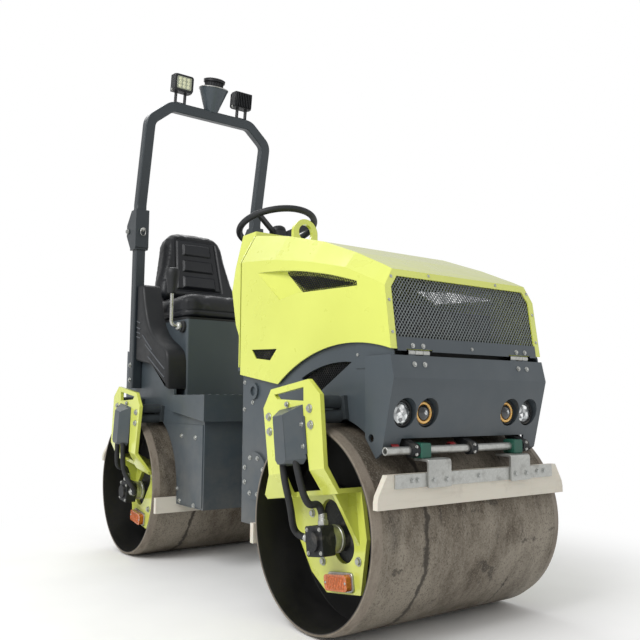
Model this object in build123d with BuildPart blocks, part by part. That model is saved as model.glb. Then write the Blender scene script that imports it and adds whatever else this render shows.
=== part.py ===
"""Small ride-on tandem road roller: two drums, an articulated frame, a tilting hood and a folding hoop.

Frame: +X forward, +Y to the operator's left, +Z up, origin on the ground midway between the drums.
All sizes are millimetres.
"""

from build123d import *
from math import cos, radians, sin, sqrt
import os

os.makedirs("parts", exist_ok=True)

# Drums
wheelbase = 1470.0
drum_radius = 315.0
drum_width = 800.0
drum_shell = 16.0
drum_edge_length = 30.0
drum_edge_drop = 7.0
drum_web_inset = 176.0
drum_web = 16.0
drum_hub_radius = 95.0
drum_hub_length = 46.0
journal_radius = 45.0
running_clearance = 0.1
drum_clearance = 25.0

# Frames
front_frame_half = 318.0
rear_frame_half = 306.0
plate = 12.0
frame_drop = 57.0
front_frame_rear = 190.0
rear_frame_front = -140.0
deck_thickness = 10.0
pivot_x = 25.0
tail_inset = 40.0
tail_rise = 295.0

# Hood
hood_half = 330.0
hood_sheet = 5.0
hood_rear = 186.0
hood_gap = 8.0
hood_rear_rise = 142.0
hood_tip_run = 261.0
hood_tip_rise = 102.0
hood_arch_rise = 216.0
hood_front_rise = 187.0
grille_rake = 7.9
grille_border = 24.0
grille_low = 40.0
grille_high = 226.0
grille_sheet = 3.0
mesh_overlap = 9.0
scoop_depth = 26.0

# Nose
bumper_half = 334.0
bumper_sheet = 8.0
bumper_rise = 176.0
bumper_depth = 120.0
lamp_rise = 11.0
lamp_hole = 43.0
lamp_tube = 5.0
lamp_radius = 37.0
lamp_length = 24.0
head_lamp_y = 270.0
ring_lamp_y = 181.0
tie_down_radius = 12.0

# Operator's station
floor_rise = 70.0
floor_sheet = 12.0
floor_front = -120.0
floor_half = 322.0
fascia_sheet = 8.0
fascia_depth = 110.0
fascia_rear_depth = 70.0
pedestal_front = -440.0
pedestal_half = 252.0
pedestal_rise = 415.0
cover_outer = 345.0
cover_top_rise = 603.0
console_rise = 355.0
seat_half = 240.0
seat_setback = 58.0
seat_depth = 390.0
seat_thickness = 105.0
seat_pan_thickness = 20.0
backrest_height = 420.0
backrest_thickness = 95.0
backrest_lean = 13.0
lever_setback = 35.0
lever_radius = 8.0
wheel_x = -88.0
wheel_rise = 805.0
wheel_radius = 180.0
wheel_rim = 14.0
wheel_dish = 48.0
wheel_shaft = 9.0
wheel_tilt = 17.0
cowl_half = 264.0
cowl_rise = 701.0
eye_radius = 60.0
eye_hole = 34.0

# Roll-over hoop
tube = 50.0
tube_corner = 7.0
post_outer = 356.0
post_inset = 170.0
post_bottom_rise = 105.0
pivot_setback = 55.0
pivot_rise = 885.0
channel_reach = 100.0
channel_sheet = 8.0
channel_gap = 1.0
hoop_pin = 11.0
hoop_rise = 1545.0
hoop_bend_drop = 116.0
hoop_top_half = 241.0
hoop_forward = 96.0
work_lamp_y = 177.0
work_lamp_lean = 7.0
work_lamp_rise = 58.0
work_lamp_depth = 56.0
work_lamp_width = 100.0
work_lamp_height = 82.0
beacon_lean = 12.0
beacon_radius = 46.0

# Forks
fork_tilt = 8.0
fork_plate = 15.0
fork_gap = 17.0
fork_reach = 93.0
fork_fold_reach = 8.0
fork_top = 440.0
fork_top_half = 107.0
fork_shoulder = 386.0
fork_half = 160.0
fork_leg = 75.0
fork_fold_top = 170.0
fork_fold_low = 110.0
fork_bottom = -200.0
buffer_radius = 20.0
buffer_across = 115.0
buffer_spacing = 44.0
buffer_clearance = 10.0
buffer_block = 14.0
carrier_radius = 122.0
carrier_thickness = 20.0
motor_radius = 40.0
motor_body = 62.0
motor_block = 86.0
motor_block_depth = 46.0
motor_at = (28.0, -38.0)
hose_radius = 11.0
hose_cover_depth = 44.0
hose_cover_half = 78.0

# Scrapers
blade_gap = 6.0
blade_thick = 20.0
blade_rise = 89.0
blade_height = 93.0
blade_cut = 36.0
inner_blade_drop = 93.0
inner_blade_height = 66.0
scraper_rod = 12.0
scraper_rod_right = 345.0
scraper_rod_left = 262.0
scraper_arm_y = 176.0
scraper_arm = 90.0

# Centre joint and steering cylinder
lug_thick = 26.0
lug_rise = 64.0
tongue_height = 128.0
tongue_gap = 5.0
joint_pin = 30.0
lug_radius = 70.0
arm_y = 150.0
arm_rise = 172.0
arm_pin = 11.0
rod_radius = 16.0
rod_gap = 0.5
barrel_radius = 32.0

# Places that follow from the sizes above
axle_x = wheelbase / 2
axle_z = drum_radius
arch_radius = drum_radius + drum_clearance
deck_z = axle_z + arch_radius
deck_top = deck_z + deck_thickness
nose_x = axle_x + drum_radius
tail_x = -nose_x + tail_inset
frame_bottom = axle_z - frame_drop
inner_low = axle_z - inner_blade_drop
inner_high = inner_low + inner_blade_height
inner_x = axle_x - drum_radius - blade_gap
box_wall_x = inner_x - blade_thick - plate
arch_foot = inner_high + 6
fork_outer = drum_width / 2 + fork_gap + fork_plate
fork_inner = drum_width / 2 - fork_reach
fork_fold = drum_width / 2 - fork_fold_reach
stub_start = fork_inner - fork_plate
web_y = drum_width / 2 - drum_web_inset
floor_top = deck_z + floor_rise
floor_low = floor_top - floor_sheet
pedestal_top = deck_z + pedestal_rise
pedestal_rear = tail_x + 25
post_x = tail_x + post_inset
post_mid = post_outer - tube / 2
bumper_top = deck_z + bumper_rise
bumper_rear = nose_x - bumper_depth
hood_front = nose_x - 7


def save(part, name):
    part.label = name
    export_step(part, f"parts/{name}.step")


def arch_x(z):
    """Distance from the axle to the arch over the drum at a height."""
    return sqrt(arch_radius**2 - (z - axle_z) ** 2)


def arch_z(run):
    """Height of the arch over the drum at a distance from the axle."""
    return axle_z + sqrt(arch_radius**2 - run**2)


# Drums: rolled shells with a web and a hub at each end, revolved about the axle
hub_bore = journal_radius + running_clearance
shell_inside = drum_radius - drum_shell
web_rim = shell_inside + drum_shell / 2
for name, end in (("front_drum", 1), ("rear_drum", -1)):
    middle = (end * axle_x, 0, axle_z)
    with BuildPart() as drum:
        with BuildSketch(Plane(middle, x_dir=(0, 1, 0), z_dir=(1, 0, 0))):
            Polygon(
                (-drum_width / 2, shell_inside),
                (-drum_width / 2, drum_radius - drum_edge_drop),
                (-drum_width / 2 + drum_edge_length, drum_radius),
                (drum_width / 2 - drum_edge_length, drum_radius),
                (drum_width / 2, drum_radius - drum_edge_drop),
                (drum_width / 2, shell_inside),
                align=None,
            )
            for side in (-1, 1):
                with Locations((side * (web_y - drum_web / 2), (web_rim + hub_bore) / 2)):
                    Rectangle(drum_web, web_rim - hub_bore)
                with Locations((side * (web_y - drum_hub_length / 2), (drum_hub_radius + hub_bore) / 2)):
                    Rectangle(drum_hub_length, drum_hub_radius - hub_bore)
        revolve(axis=Axis(middle, (0, 1, 0)))
    save(drum.part, name)

# Forks: bent plates that hang from rubber buffers and reach into the drum, leaning to the middle
lean = radians(fork_tilt)
fork_side = Plane((axle_x, 0, axle_z), x_dir=(cos(lean), 0, sin(lean)), z_dir=(0, -1, 0))
fork_section = Plane((axle_x, 0, axle_z), x_dir=(0, 1, 0), z_dir=(cos(lean), 0, sin(lean)))
leg_inner = fork_half - fork_leg
fork_past = 40.0
with BuildPart() as forks:
    with BuildSketch(fork_section):
        Polygon(
            (-fork_outer, fork_top + fork_past),
            (-fork_outer, fork_fold_top),
            (-fork_fold, fork_fold_low - fork_plate),
            (-fork_inner, fork_fold_low - fork_plate),
            (-fork_inner, fork_bottom - fork_past),
            (-stub_start, fork_bottom - fork_past),
            (-stub_start, fork_fold_low),
            (-fork_fold + fork_plate / 2, fork_fold_low),
            (-fork_outer + fork_plate, fork_fold_top + fork_plate / 2),
            (-fork_outer + fork_plate, fork_top + fork_past),
            align=None,
        )
    extrude(amount=2 * fork_half, both=True)
    with BuildSketch(fork_side):
        Polygon(
            (-fork_top_half, fork_top),
            (fork_top_half, fork_top),
            (fork_half, fork_shoulder),
            (fork_half - 8, fork_fold_top),
            (fork_half, 60),
            (fork_half + 4, -43),
            (fork_half - 47, fork_bottom),
            (-fork_half + 105, fork_bottom),
            (-fork_half + 30, fork_bottom + 60),
            (-fork_half - 67, 36),
            (-fork_half - 75, fork_fold_low),
            (-fork_half + 8, fork_fold_top),
            (-fork_half, fork_shoulder),
            align=None,
        )
    extrude(amount=fork_outer + fork_past, mode=Mode.INTERSECT)
    # The legs stand apart behind the hose cover, and a long window lightens the plate above it
    with BuildSketch(fork_side.offset(fork_fold - fork_plate)):
        Polygon(
            (-leg_inner + 22, fork_top - 78),
            (leg_inner - 22, fork_top - 78),
            (leg_inner, fork_fold_low - 50),
            (-leg_inner, fork_fold_low - 50),
            align=None,
        )
        Polygon(
            (-fork_top_half + 17, fork_top - 20),
            (fork_top_half - 29, fork_top - 20),
            (fork_top_half - 34, fork_top - 62),
            (-fork_top_half + 33, fork_top - 36),
            align=None,
        )
    extrude(amount=fork_outer, mode=Mode.SUBTRACT)
    # Slanted hole that the motor passes through
    with BuildSketch(fork_side.offset(stub_start - 1)):
        with Locations((motor_at[0] - 6, motor_at[1] + 22)):
            SlotCenterToCenter(2.6 * motor_radius, 2.6 * motor_radius, rotation=-58)
    extrude(amount=fork_plate + 2, mode=Mode.SUBTRACT)
    # Gusset between the shelf and the lower plate
    with BuildSketch(fork_section.offset(fork_half - 3 * fork_plate)):
        Polygon(
            (-fork_inner + 1, fork_fold_low - fork_plate + 1),
            (-fork_inner + 1, -60),
            (-fork_fold + 8, fork_fold_low - fork_plate + 1),
            align=None,
        )
    extrude(amount=fork_plate)
    mirror(about=Plane.XZ)
save(forks.part, "front_forks")
save(mirror(forks.part, about=Plane.YZ), "rear_forks")

# Buffers between forks and frames, stacked in pairs on a block and clear of the drum
buffer_low = sqrt((drum_radius + buffer_clearance + buffer_radius) ** 2 - buffer_across**2)
buffer_heights = (buffer_low, buffer_low + buffer_spacing)
for name, half, end in (("front_buffers", front_frame_half, 1), ("rear_buffers", rear_frame_half, -1)):
    with BuildPart() as buffers:
        with BuildSketch(fork_side.offset(half)):
            for across in (-buffer_across, buffer_across):
                with Locations((across, buffer_low + buffer_spacing / 2 + 2)):
                    Rectangle(3 * buffer_radius, buffer_spacing + 1.4 * buffer_radius)
        extrude(amount=buffer_block)
        with BuildSketch(fork_side.offset(half + buffer_block)):
            for across in (-buffer_across, buffer_across):
                for height in buffer_heights:
                    with Locations((across, height)):
                        Circle(buffer_radius)
        extrude(amount=fork_outer - fork_plate - half - buffer_block)
        mirror(about=Plane.XZ)
        if end < 0:
            mirror(about=Plane.YZ, mode=Mode.REPLACE)
    save(buffers.part, name)

# Stub axles: a bearing carrier bolted behind each lower plate, with the journal that the drum turns on
with BuildPart() as stubs:
    with BuildSketch(fork_side.offset(stub_start)):
        Circle(carrier_radius)
    extrude(amount=-carrier_thickness)
    with BuildSketch(fork_side.offset(stub_start)):
        Circle(journal_radius)
    extrude(amount=-(stub_start - web_y + drum_hub_length))
    mirror(about=Plane.XZ)
save(stubs.part, "front_stub_axles")
save(mirror(stubs.part, about=Plane.YZ), "rear_stub_axles")

# Drive motors on the carriers, off the axle, with a square port block and an end cap
motor_face = stub_start + motor_body + motor_block_depth
with BuildPart() as motors:
    with BuildSketch(fork_side.offset(stub_start)):
        with Locations(motor_at):
            Circle(motor_radius)
    extrude(amount=motor_body)
    with BuildSketch(fork_side.offset(stub_start + motor_body)):
        with Locations(motor_at):
            RectangleRounded(motor_block, motor_block + 4, 10)
    extrude(amount=motor_block_depth)
    with BuildSketch(fork_side.offset(motor_face)):
        with Locations(motor_at):
            Circle(motor_radius - 10)
    extrude(amount=10)
    mirror(about=Plane.XZ)
save(motors.part, "front_motors")
save(mirror(motors.part, about=Plane.YZ), "rear_motors")

# Sheet covers over the hose ends, tapered outward and open below
cover_sheet = 5.0
cover_top = fork_top - 72
cover_low = fork_fold_top + 20
taper = 16.0
with BuildPart() as covers:
    for out, inset in ((0, 0), (hose_cover_depth, taper)):
        half = hose_cover_half - inset
        with BuildSketch(fork_side.offset(fork_outer + out)):
            Polygon(
                (-half, cover_top - 2 * inset),
                (half, cover_top - 2 * inset),
                (half, cover_low + 15 + inset / 2),
                (half - 18, cover_low + inset),
                (-half + 18, cover_low + inset),
                (-half, cover_low + 15 + inset / 2),
                align=None,
            )
    loft()
    for out, inset in ((-1, cover_sheet), (hose_cover_depth - cover_sheet, taper + cover_sheet)):
        half = hose_cover_half - inset
        with BuildSketch(fork_side.offset(fork_outer + out)):
            Polygon(
                (-half, cover_top - 2 * inset),
                (half, cover_top - 2 * inset),
                (half, cover_low - 20),
                (-half, cover_low - 20),
                align=None,
            )
    loft(mode=Mode.SUBTRACT)
    mirror(about=Plane.XZ)
save(covers.part, "front_hose_covers")
save(mirror(covers.part, about=Plane.YZ), "rear_hose_covers")

# Hoses out of the frame, down behind the covers and into the motors
port_depth = stub_start + motor_body + motor_block_depth / 2
hose_height = fork_top - 98


def hoses(half):
    """Both hoses of the front right motor and their copies on the left, from a frame of a half width."""
    feed = (
        (-25, hose_height, half),
        (-25, hose_height - 1, fork_outer - 40),
        (-26, hose_height - 22, fork_outer + 2),
        (-32, hose_height - 80, fork_outer + 18),
        (-42, hose_height - 192, fork_outer + 12),
        (-56, motor_at[1] + 78, fork_outer - 14),
        (motor_at[0] - motor_block / 2, motor_at[1] + 8, port_depth),
    )
    back = (
        (25, hose_height, half),
        (25, hose_height - 1, fork_outer - 40),
        (25, hose_height - 22, fork_outer + 2),
        (28, hose_height - 80, fork_outer + 18),
        (36, hose_height - 192, fork_outer + 10),
        (50, motor_at[1] + 108, fork_outer - 14),
        (motor_at[0] + 22, motor_at[1] + motor_block / 2 + 2, port_depth),
    )
    outward = fork_side.z_dir
    with BuildPart() as lines:
        for route, ending in ((feed, fork_side.x_dir), (back, -fork_side.y_dir)):
            points = [fork_side.from_local_coords(Vector(*point)) for point in route]
            with BuildLine() as line:
                Spline(*points, tangents=(outward, ending))
            with BuildSketch(Plane(line.line @ 0, z_dir=line.line % 0)):
                Circle(hose_radius)
            sweep()
        mirror(about=Plane.XZ)
    return lines.part


save(hoses(front_frame_half), "front_hoses")
save(mirror(hoses(rear_frame_half), about=Plane.YZ), "rear_hoses")

# Marker lamps low on the forks
with BuildPart() as markers:
    with BuildSketch(fork_side.offset(fork_inner)):
        with Locations((26, fork_bottom + 35)):
            RectangleRounded(112, 48, 12)
    extrude(amount=26)
    mirror(about=Plane.XZ)
save(markers.part, "front_marker_lamps")
save(mirror(markers.part, about=Plane.YZ), "rear_marker_lamps")

# Front chassis: side plates arched over the drum, a box behind it and a deck that carries the engine
hood_rear_low = deck_z + hood_rear_rise
hood_tip = (hood_rear + hood_tip_run, deck_z + hood_tip_rise)
hood_arch_z = deck_z + hood_arch_rise
hood_low = deck_z + hood_front_rise
cowl_low = hood_rear_low + 28
cowl_front = hood_rear - hood_gap
cowl_top = deck_z + cowl_rise
front_inner = front_frame_half - plate
with BuildPart() as front_chassis:
    with BuildSketch(Plane.XZ.offset(front_frame_half)):
        with BuildLine():
            Polyline(
                (axle_x - arch_x(arch_foot), arch_foot),
                (box_wall_x + plate, arch_foot),
                (box_wall_x + plate, frame_bottom),
                (front_frame_rear, frame_bottom),
                (front_frame_rear, cowl_low),
                (hood_tip[0] - 10, hood_tip[1] + 34),
                (hood_tip[0] + 35, hood_tip[1] + 44),
                (axle_x - 135, hood_arch_z - 2),
                (axle_x + 25, hood_arch_z + 22),
                (bumper_rear, hood_arch_z + 12),
                (bumper_rear, arch_z(bumper_rear - axle_x)),
            )
            ThreePointArc(
                (bumper_rear, arch_z(bumper_rear - axle_x)),
                (axle_x, deck_z),
                (axle_x - arch_x(arch_foot), arch_foot),
            )
        make_face()
    extrude(amount=-plate)
    # Crescent vent above the drum
    with BuildSketch(Plane.XZ.offset(front_frame_half + 1)):
        with BuildLine():
            Polyline(
                (axle_x + 113, deck_z + 163),
                (axle_x - 48, deck_z + 76),
                (axle_x - 113, deck_z + 90),
                (axle_x - 157, deck_z + 120),
            )
            ThreePointArc(
                (axle_x - 157, deck_z + 120),
                (axle_x - 24, deck_z + 158),
                (axle_x + 113, deck_z + 163),
            )
        make_face()
    extrude(amount=-plate - 2, mode=Mode.SUBTRACT)
    mirror(about=Plane.XZ)
    with BuildSketch(Plane.XZ):
        Polygon(
            (front_frame_rear, frame_bottom),
            (front_frame_rear + plate, frame_bottom),
            (front_frame_rear + plate, cowl_low),
            (cowl_front - 48, cowl_low),
            (cowl_front - 48, cowl_low - plate),
            (front_frame_rear, cowl_low - plate),
            align=None,
        )
        Polygon(
            (front_frame_rear, frame_bottom),
            (box_wall_x + plate, frame_bottom),
            (box_wall_x + plate, deck_z),
            (bumper_rear, deck_z),
            (bumper_rear, hood_arch_z + 12),
            (bumper_rear - plate, hood_arch_z + 12),
            (bumper_rear - plate, deck_top),
            (box_wall_x, deck_top),
            (box_wall_x, frame_bottom + plate),
            (front_frame_rear, frame_bottom + plate),
            align=None,
        )
    extrude(amount=front_inner + 1, both=True)
save(front_chassis.part, "front_chassis")

# Mesh behind the crescent vents
with BuildPart() as arch_vents:
    with BuildSketch(Plane.XZ.offset(front_inner)):
        Polygon(
            (axle_x + 120, deck_z + 172),
            (axle_x - 24, deck_z + 172),
            (axle_x - 168, deck_z + 130),
            (axle_x - 125, deck_z + 82),
            (axle_x - 45, deck_z + 66),
            align=None,
        )
    extrude(amount=-grille_sheet)
    mirror(about=Plane.XZ)
save(arch_vents.part, "arch_vents")

# Round bolted covers and guide rings on the front side plates
cover_place = (front_frame_rear + 98, axle_z + 117)
ring_place = (front_frame_rear + 84, deck_z + 80)
with BuildPart() as frame_covers:
    with BuildSketch(Plane.XZ.offset(front_frame_half)):
        with Locations(cover_place):
            Circle(85)
        with Locations(ring_place):
            Circle(30)
            Circle(17, mode=Mode.SUBTRACT)
    extrude(amount=8)
    mirror(about=Plane.XZ)
save(frame_covers.part, "frame_covers")

# Hood: cross-sections lofted to one skin, with a facet along each brow, and a scoop sunk in each side
stations = (
    (hood_rear, deck_z + 569, deck_z + 682, 268.0),
    (hood_rear + 234, deck_z + 544, deck_z + 637, 274.0),
    (hood_front - 393, deck_z + 501, deck_z + 576, 280.0),
    (hood_front - 213, deck_z + 457, deck_z + 510, 287.0),
    (hood_front - 78, deck_z + 402, deck_z + 452, 293.0),
    (hood_front + 17, deck_z + 357, deck_z + 407, 298.0),
)
rake = radians(grille_rake)
front_face = Plane((hood_front, 0, hood_low), x_dir=(0, 1, 0), z_dir=(cos(rake), 0, sin(rake)))


def hood_body(inset):
    """The hood's full body, every face moved in by a distance, with the inner one's rear left long."""
    with BuildPart() as body:
        for x, brow, top, half in stations:
            back = 20 if inset and x == hood_rear else 0
            with BuildSketch(Plane.YZ.offset(x - back)):
                Polygon(
                    (-hood_half + inset, deck_z - 15),
                    (-hood_half + inset, brow - inset * 0.4),
                    (-half + inset * 0.5, top - inset),
                    (half - inset * 0.5, top - inset),
                    (hood_half - inset, brow - inset * 0.4),
                    (hood_half - inset, deck_z - 15),
                    align=None,
                )
        loft(ruled=True)
        with BuildSketch(front_face.offset(-inset)):
            Rectangle(3 * hood_half, 6 * hood_half)
        extrude(amount=hood_half, mode=Mode.SUBTRACT)
    return body.part


def beneath(first, second, third):
    """A thick slab under the plane through three points."""
    corner, along, across = [Vector(*point) for point in (first, second, third)]
    level = Plane(corner, x_dir=along - corner, z_dir=(along - corner).cross(across - corner).normalized())
    with BuildPart() as slab:
        with BuildSketch(level):
            Rectangle(2000, 2000)
        extrude(amount=100)
    return slab.part


# The scoop's pocket: its floor slopes in from the rear, then out again under the mesh
scoop_rear = (hood_rear + 118, deck_z + 511)
scoop_crest = (hood_rear + 414, deck_z + 477)
scoop_tip = (hood_rear + 701, deck_z + 407)
scoop_tip_low = (hood_rear + 703, deck_z + 392)
scoop_foot = (hood_rear + 382, deck_z + 407)
scoop_corner = (hood_rear + 270, deck_z + 395)
scoop_head = (hood_rear + 274, deck_z + 499)
scoop_floor = -hood_half + scoop_depth
scoop_lip = -hood_half + hood_sheet + 2
pocket_rear = (scoop_rear[0], -hood_half, scoop_rear[1])
pocket_head = (scoop_head[0], scoop_floor, scoop_head[1])
pocket_foot = (scoop_foot[0], scoop_floor, scoop_foot[1])
pocket_tip = (scoop_tip[0], scoop_lip, scoop_tip[1])
with BuildPart() as scoop:
    with BuildSketch(Plane.XZ.offset(hood_half + 1)):
        with BuildLine():
            ThreePointArc(scoop_rear, scoop_crest, scoop_tip)
            Polyline(scoop_tip, scoop_tip_low, scoop_foot, scoop_corner, scoop_rear)
        make_face()
    extrude(amount=-scoop_depth - 2)
    add(beneath(pocket_rear, pocket_head, pocket_foot), mode=Mode.SUBTRACT)
    add(beneath(pocket_head, pocket_tip, pocket_foot), mode=Mode.SUBTRACT)

rear_vent = (
    (hood_rear + 82, deck_z + 231),
    (hood_rear + 254, deck_z + 225),
    (hood_rear + 210, deck_z + 187),
    (hood_rear + 112, deck_z + 198),
)
grille_half = hood_half - grille_border
grille_opening = (
    (-grille_half, grille_low),
    (grille_half, grille_low),
    (grille_half, grille_high - 36),
    (grille_half - 26, grille_high),
    (-grille_half + 26, grille_high),
    (-grille_half, grille_high - 36),
)
mesh_corners = (
    (scoop_head[0] + 16, scoop_head[1] - 18),
    (scoop_crest[0] + 60, scoop_crest[1] - 24),
    (scoop_tip[0] - 26, scoop_tip[1] - 2),
    (scoop_tip[0] - 26, scoop_tip_low[1] + 8),
    (scoop_foot[0] + 12, scoop_foot[1] + 10),
)
hinge_x = nose_x - 14
hinge_z = bumper_top + 9
hinge_y = 222.0
hinge_knuckle = 7.0
hinge_pin = 4.0
hood_inner = hood_body(hood_sheet)
with BuildPart() as hood_shell:
    add(hood_body(0))
    add(hood_inner, mode=Mode.SUBTRACT)
    # Backing for the scoops, inside the skin
    with BuildSketch(Plane.XZ.offset(hood_half - 1)):
        with BuildLine():
            ThreePointArc(scoop_rear, scoop_crest, scoop_tip)
            Polyline(scoop_tip, scoop_tip_low, scoop_foot, scoop_corner, scoop_rear)
        make_face()
        offset(amount=hood_sheet)
    extrude(amount=-scoop_depth - hood_sheet)
    mirror(hood_shell.part, about=Plane.XZ)
    add(scoop.part, mode=Mode.SUBTRACT)
    mirror(scoop.part, about=Plane.XZ, mode=Mode.SUBTRACT)
    with BuildSketch(Plane.XZ):
        with BuildLine():
            Polyline(
                (hood_front + 40, hood_low + 6),
                (hood_front + 40, deck_z - 60),
                (hood_rear - 40, deck_z - 60),
                (hood_rear - 40, hood_rear_low),
                (hood_rear, hood_rear_low),
                hood_tip,
            )
            ThreePointArc(hood_tip, (axle_x + 25, hood_arch_z), (hood_front, hood_low + 6))
            Line((hood_front, hood_low + 6), (hood_front + 40, hood_low + 6))
        make_face()
        Polygon(*mesh_corners, align=None)
        Polygon(*rear_vent, align=None)
    extrude(amount=hood_half + 20, both=True, mode=Mode.SUBTRACT)
    with BuildSketch(front_face.offset(-30)):
        Polygon(*grille_opening, align=None)
    extrude(amount=60, mode=Mode.SUBTRACT)
    # Hinge leaves inside the front, each with a bored knuckle
    for side in (-1, 1):
        with BuildSketch(front_face.offset(-hood_sheet + 1)):
            with Locations((side * hinge_y, 18)):
                Rectangle(30, 20)
        extrude(amount=-7)
        with BuildSketch(Plane.XZ.offset(side * hinge_y - 15)):
            with Locations((hinge_x, hinge_z)):
                Circle(hinge_knuckle)
            Polygon(
                (hinge_x - hinge_knuckle, hinge_z),
                (hinge_x, hinge_z),
                (hinge_x - 1, hinge_z + 16),
                (hinge_x - hinge_knuckle, hinge_z + 16),
                align=None,
            )
        extrude(amount=30)
        with BuildSketch(Plane.XZ.offset(side * hinge_y - 16)):
            with Locations((hinge_x, hinge_z)):
                Circle(hinge_pin + running_clearance)
        extrude(amount=32, mode=Mode.SUBTRACT)
save(hood_shell.part, "hood_shell")

# Mesh behind the hood's openings
with BuildPart() as hood_grille:
    with BuildSketch(front_face.offset(-hood_sheet)):
        with BuildLine():
            Polyline(*grille_opening, close=True)
        make_face()
        offset(amount=mesh_overlap, kind=Kind.INTERSECTION)
    extrude(amount=-grille_sheet)
save(hood_grille.part, "hood_grille")

scoop_run = Vector(*pocket_tip) - Vector(*pocket_head)
scoop_fall = Vector(*pocket_foot) - Vector(*pocket_head)
scoop_level = Plane(Vector(*pocket_head), x_dir=scoop_run, z_dir=scoop_run.cross(scoop_fall).normalized())
with BuildPart() as hood_vents:
    with BuildSketch(Plane.XZ.offset(hood_half)):
        with BuildLine():
            ThreePointArc(scoop_rear, scoop_crest, scoop_tip)
            Polyline(scoop_tip, scoop_tip_low, scoop_foot, scoop_corner, scoop_rear)
        make_face()
        offset(amount=-1.5)
        Polygon(scoop_head, (scoop_tip[0], scoop_head[1] + 60), (scoop_tip[0] + 40, scoop_foot[1] - 60),
                scoop_foot, align=None, mode=Mode.INTERSECT)
    extrude(amount=-scoop_depth - 20)
    with BuildSketch(scoop_level):
        Rectangle(2000, 2000)
    extrude(amount=-grille_sheet, mode=Mode.INTERSECT)
    with BuildSketch(Plane.XZ.offset(hood_half - hood_sheet)):
        with BuildLine():
            Polyline(*rear_vent, close=True)
        make_face()
        offset(amount=mesh_overlap, kind=Kind.INTERSECTION)
    extrude(amount=-grille_sheet)
    mirror(about=Plane.XZ)
save(hood_vents.part, "hood_vents")

# Bumper: a folded nose with lamp tubes on a plate, hinge knuckles and a tie-down hole in each side
tip_run = drum_radius - 72
tip_z = axle_z + sqrt((drum_radius + 13) ** 2 - tip_run**2)
lamp_z = deck_z + lamp_rise
bumper_nose = (
    (nose_x - 6, bumper_top),
    (nose_x + 9, deck_z + 110),
    (nose_x - 46, tip_z + 17),
    (axle_x + tip_run, tip_z),
)
bumper_inner = bumper_half - bumper_sheet
lamp_plate_x = nose_x - 70
bumper_outline = ((bumper_rear, arch_z(bumper_rear - axle_x)), (bumper_rear, bumper_top), *bumper_nose)
with BuildPart() as lamp_tubes:
    with BuildSketch(Plane.XZ):
        Polygon(*bumper_outline, align=None)
    extrude(amount=bumper_half, both=True)
    with BuildSketch(Plane.YZ.offset(lamp_plate_x)):
        for y in (head_lamp_y, ring_lamp_y):
            with Locations((-y, lamp_z), (y, lamp_z)):
                Circle(lamp_hole + lamp_tube)
    extrude(amount=bumper_depth, mode=Mode.INTERSECT)
with BuildPart() as bumper:
    with BuildSketch(Plane.XZ):
        Polygon(*bumper_outline, align=None)
    extrude(amount=bumper_half, both=True)
    with BuildSketch(Plane.XZ):
        Polygon(
            (bumper_rear - 5, tip_z - 36),
            (bumper_rear - 5, bumper_top - bumper_sheet),
            (nose_x - 6 - bumper_sheet, bumper_top - bumper_sheet),
            (nose_x + 9 - bumper_sheet, deck_z + 109),
            (nose_x - 46 - bumper_sheet, tip_z + 17),
            (nose_x - 60, tip_z - 36),
            align=None,
        )
    extrude(amount=bumper_inner, both=True, mode=Mode.SUBTRACT)
    # Plate behind the nose that carries the lamps
    with BuildSketch(Plane.YZ.offset(lamp_plate_x)):
        with Locations((0, deck_z + 35)):
            Rectangle(2 * bumper_inner + 2, 150)
    extrude(amount=bumper_sheet)
    add(lamp_tubes.part)
    # Raised middle of the lower edge
    with BuildSketch(Plane.YZ.offset(bumper_rear - 30)):
        Polygon((-285, tip_z - 36), (-268, tip_z + 57), (268, tip_z + 57), (285, tip_z - 36), align=None)
    extrude(amount=200, mode=Mode.SUBTRACT)
    with BuildSketch(Plane.XZ.offset(-bumper_half - 1)):
        with Locations((nose_x - 93, tip_z + 57)):
            Circle(tie_down_radius)
    extrude(amount=2 * bumper_half + 2, mode=Mode.SUBTRACT)
    with BuildSketch(Plane.YZ.offset(lamp_plate_x + bumper_sheet)):
        for y in (head_lamp_y, ring_lamp_y):
            with Locations((-y, lamp_z), (y, lamp_z)):
                Circle(lamp_hole)
    extrude(amount=bumper_depth, mode=Mode.SUBTRACT)
    for side in (-1, 1):
        for edge in (-29, 29):
            with BuildSketch(Plane.XZ.offset(side * hinge_y + edge - 13)):
                with Locations((hinge_x, hinge_z)):
                    Circle(hinge_knuckle)
                with Locations((hinge_x, (bumper_top - 1 + hinge_z) / 2)):
                    Rectangle(2 * hinge_knuckle, hinge_z - bumper_top + 1)
            extrude(amount=26)
        with BuildSketch(Plane.XZ.offset(side * hinge_y - 42)):
            with Locations((hinge_x, hinge_z)):
                Circle(hinge_pin)
        extrude(amount=84)
save(bumper.part, "bumper")

# Nose lamps at the bottom of the tubes: clear lamps outside, ring lamps inside
lamp_foot = lamp_plate_x + bumper_sheet
for name, y in (("head_lamps", head_lamp_y), ("ring_lamps", ring_lamp_y)):
    with BuildPart() as lamps:
        with BuildSketch(Plane.YZ.offset(lamp_foot)):
            with Locations((-y, lamp_z), (y, lamp_z)):
                Circle(lamp_radius)
        extrude(amount=lamp_length)
        with BuildSketch(Plane.YZ.offset(lamp_foot)):
            with Locations((-y, lamp_z), (y, lamp_z)):
                Circle(lamp_hole - running_clearance)
        extrude(amount=8)
    save(lamps.part, name)

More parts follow.
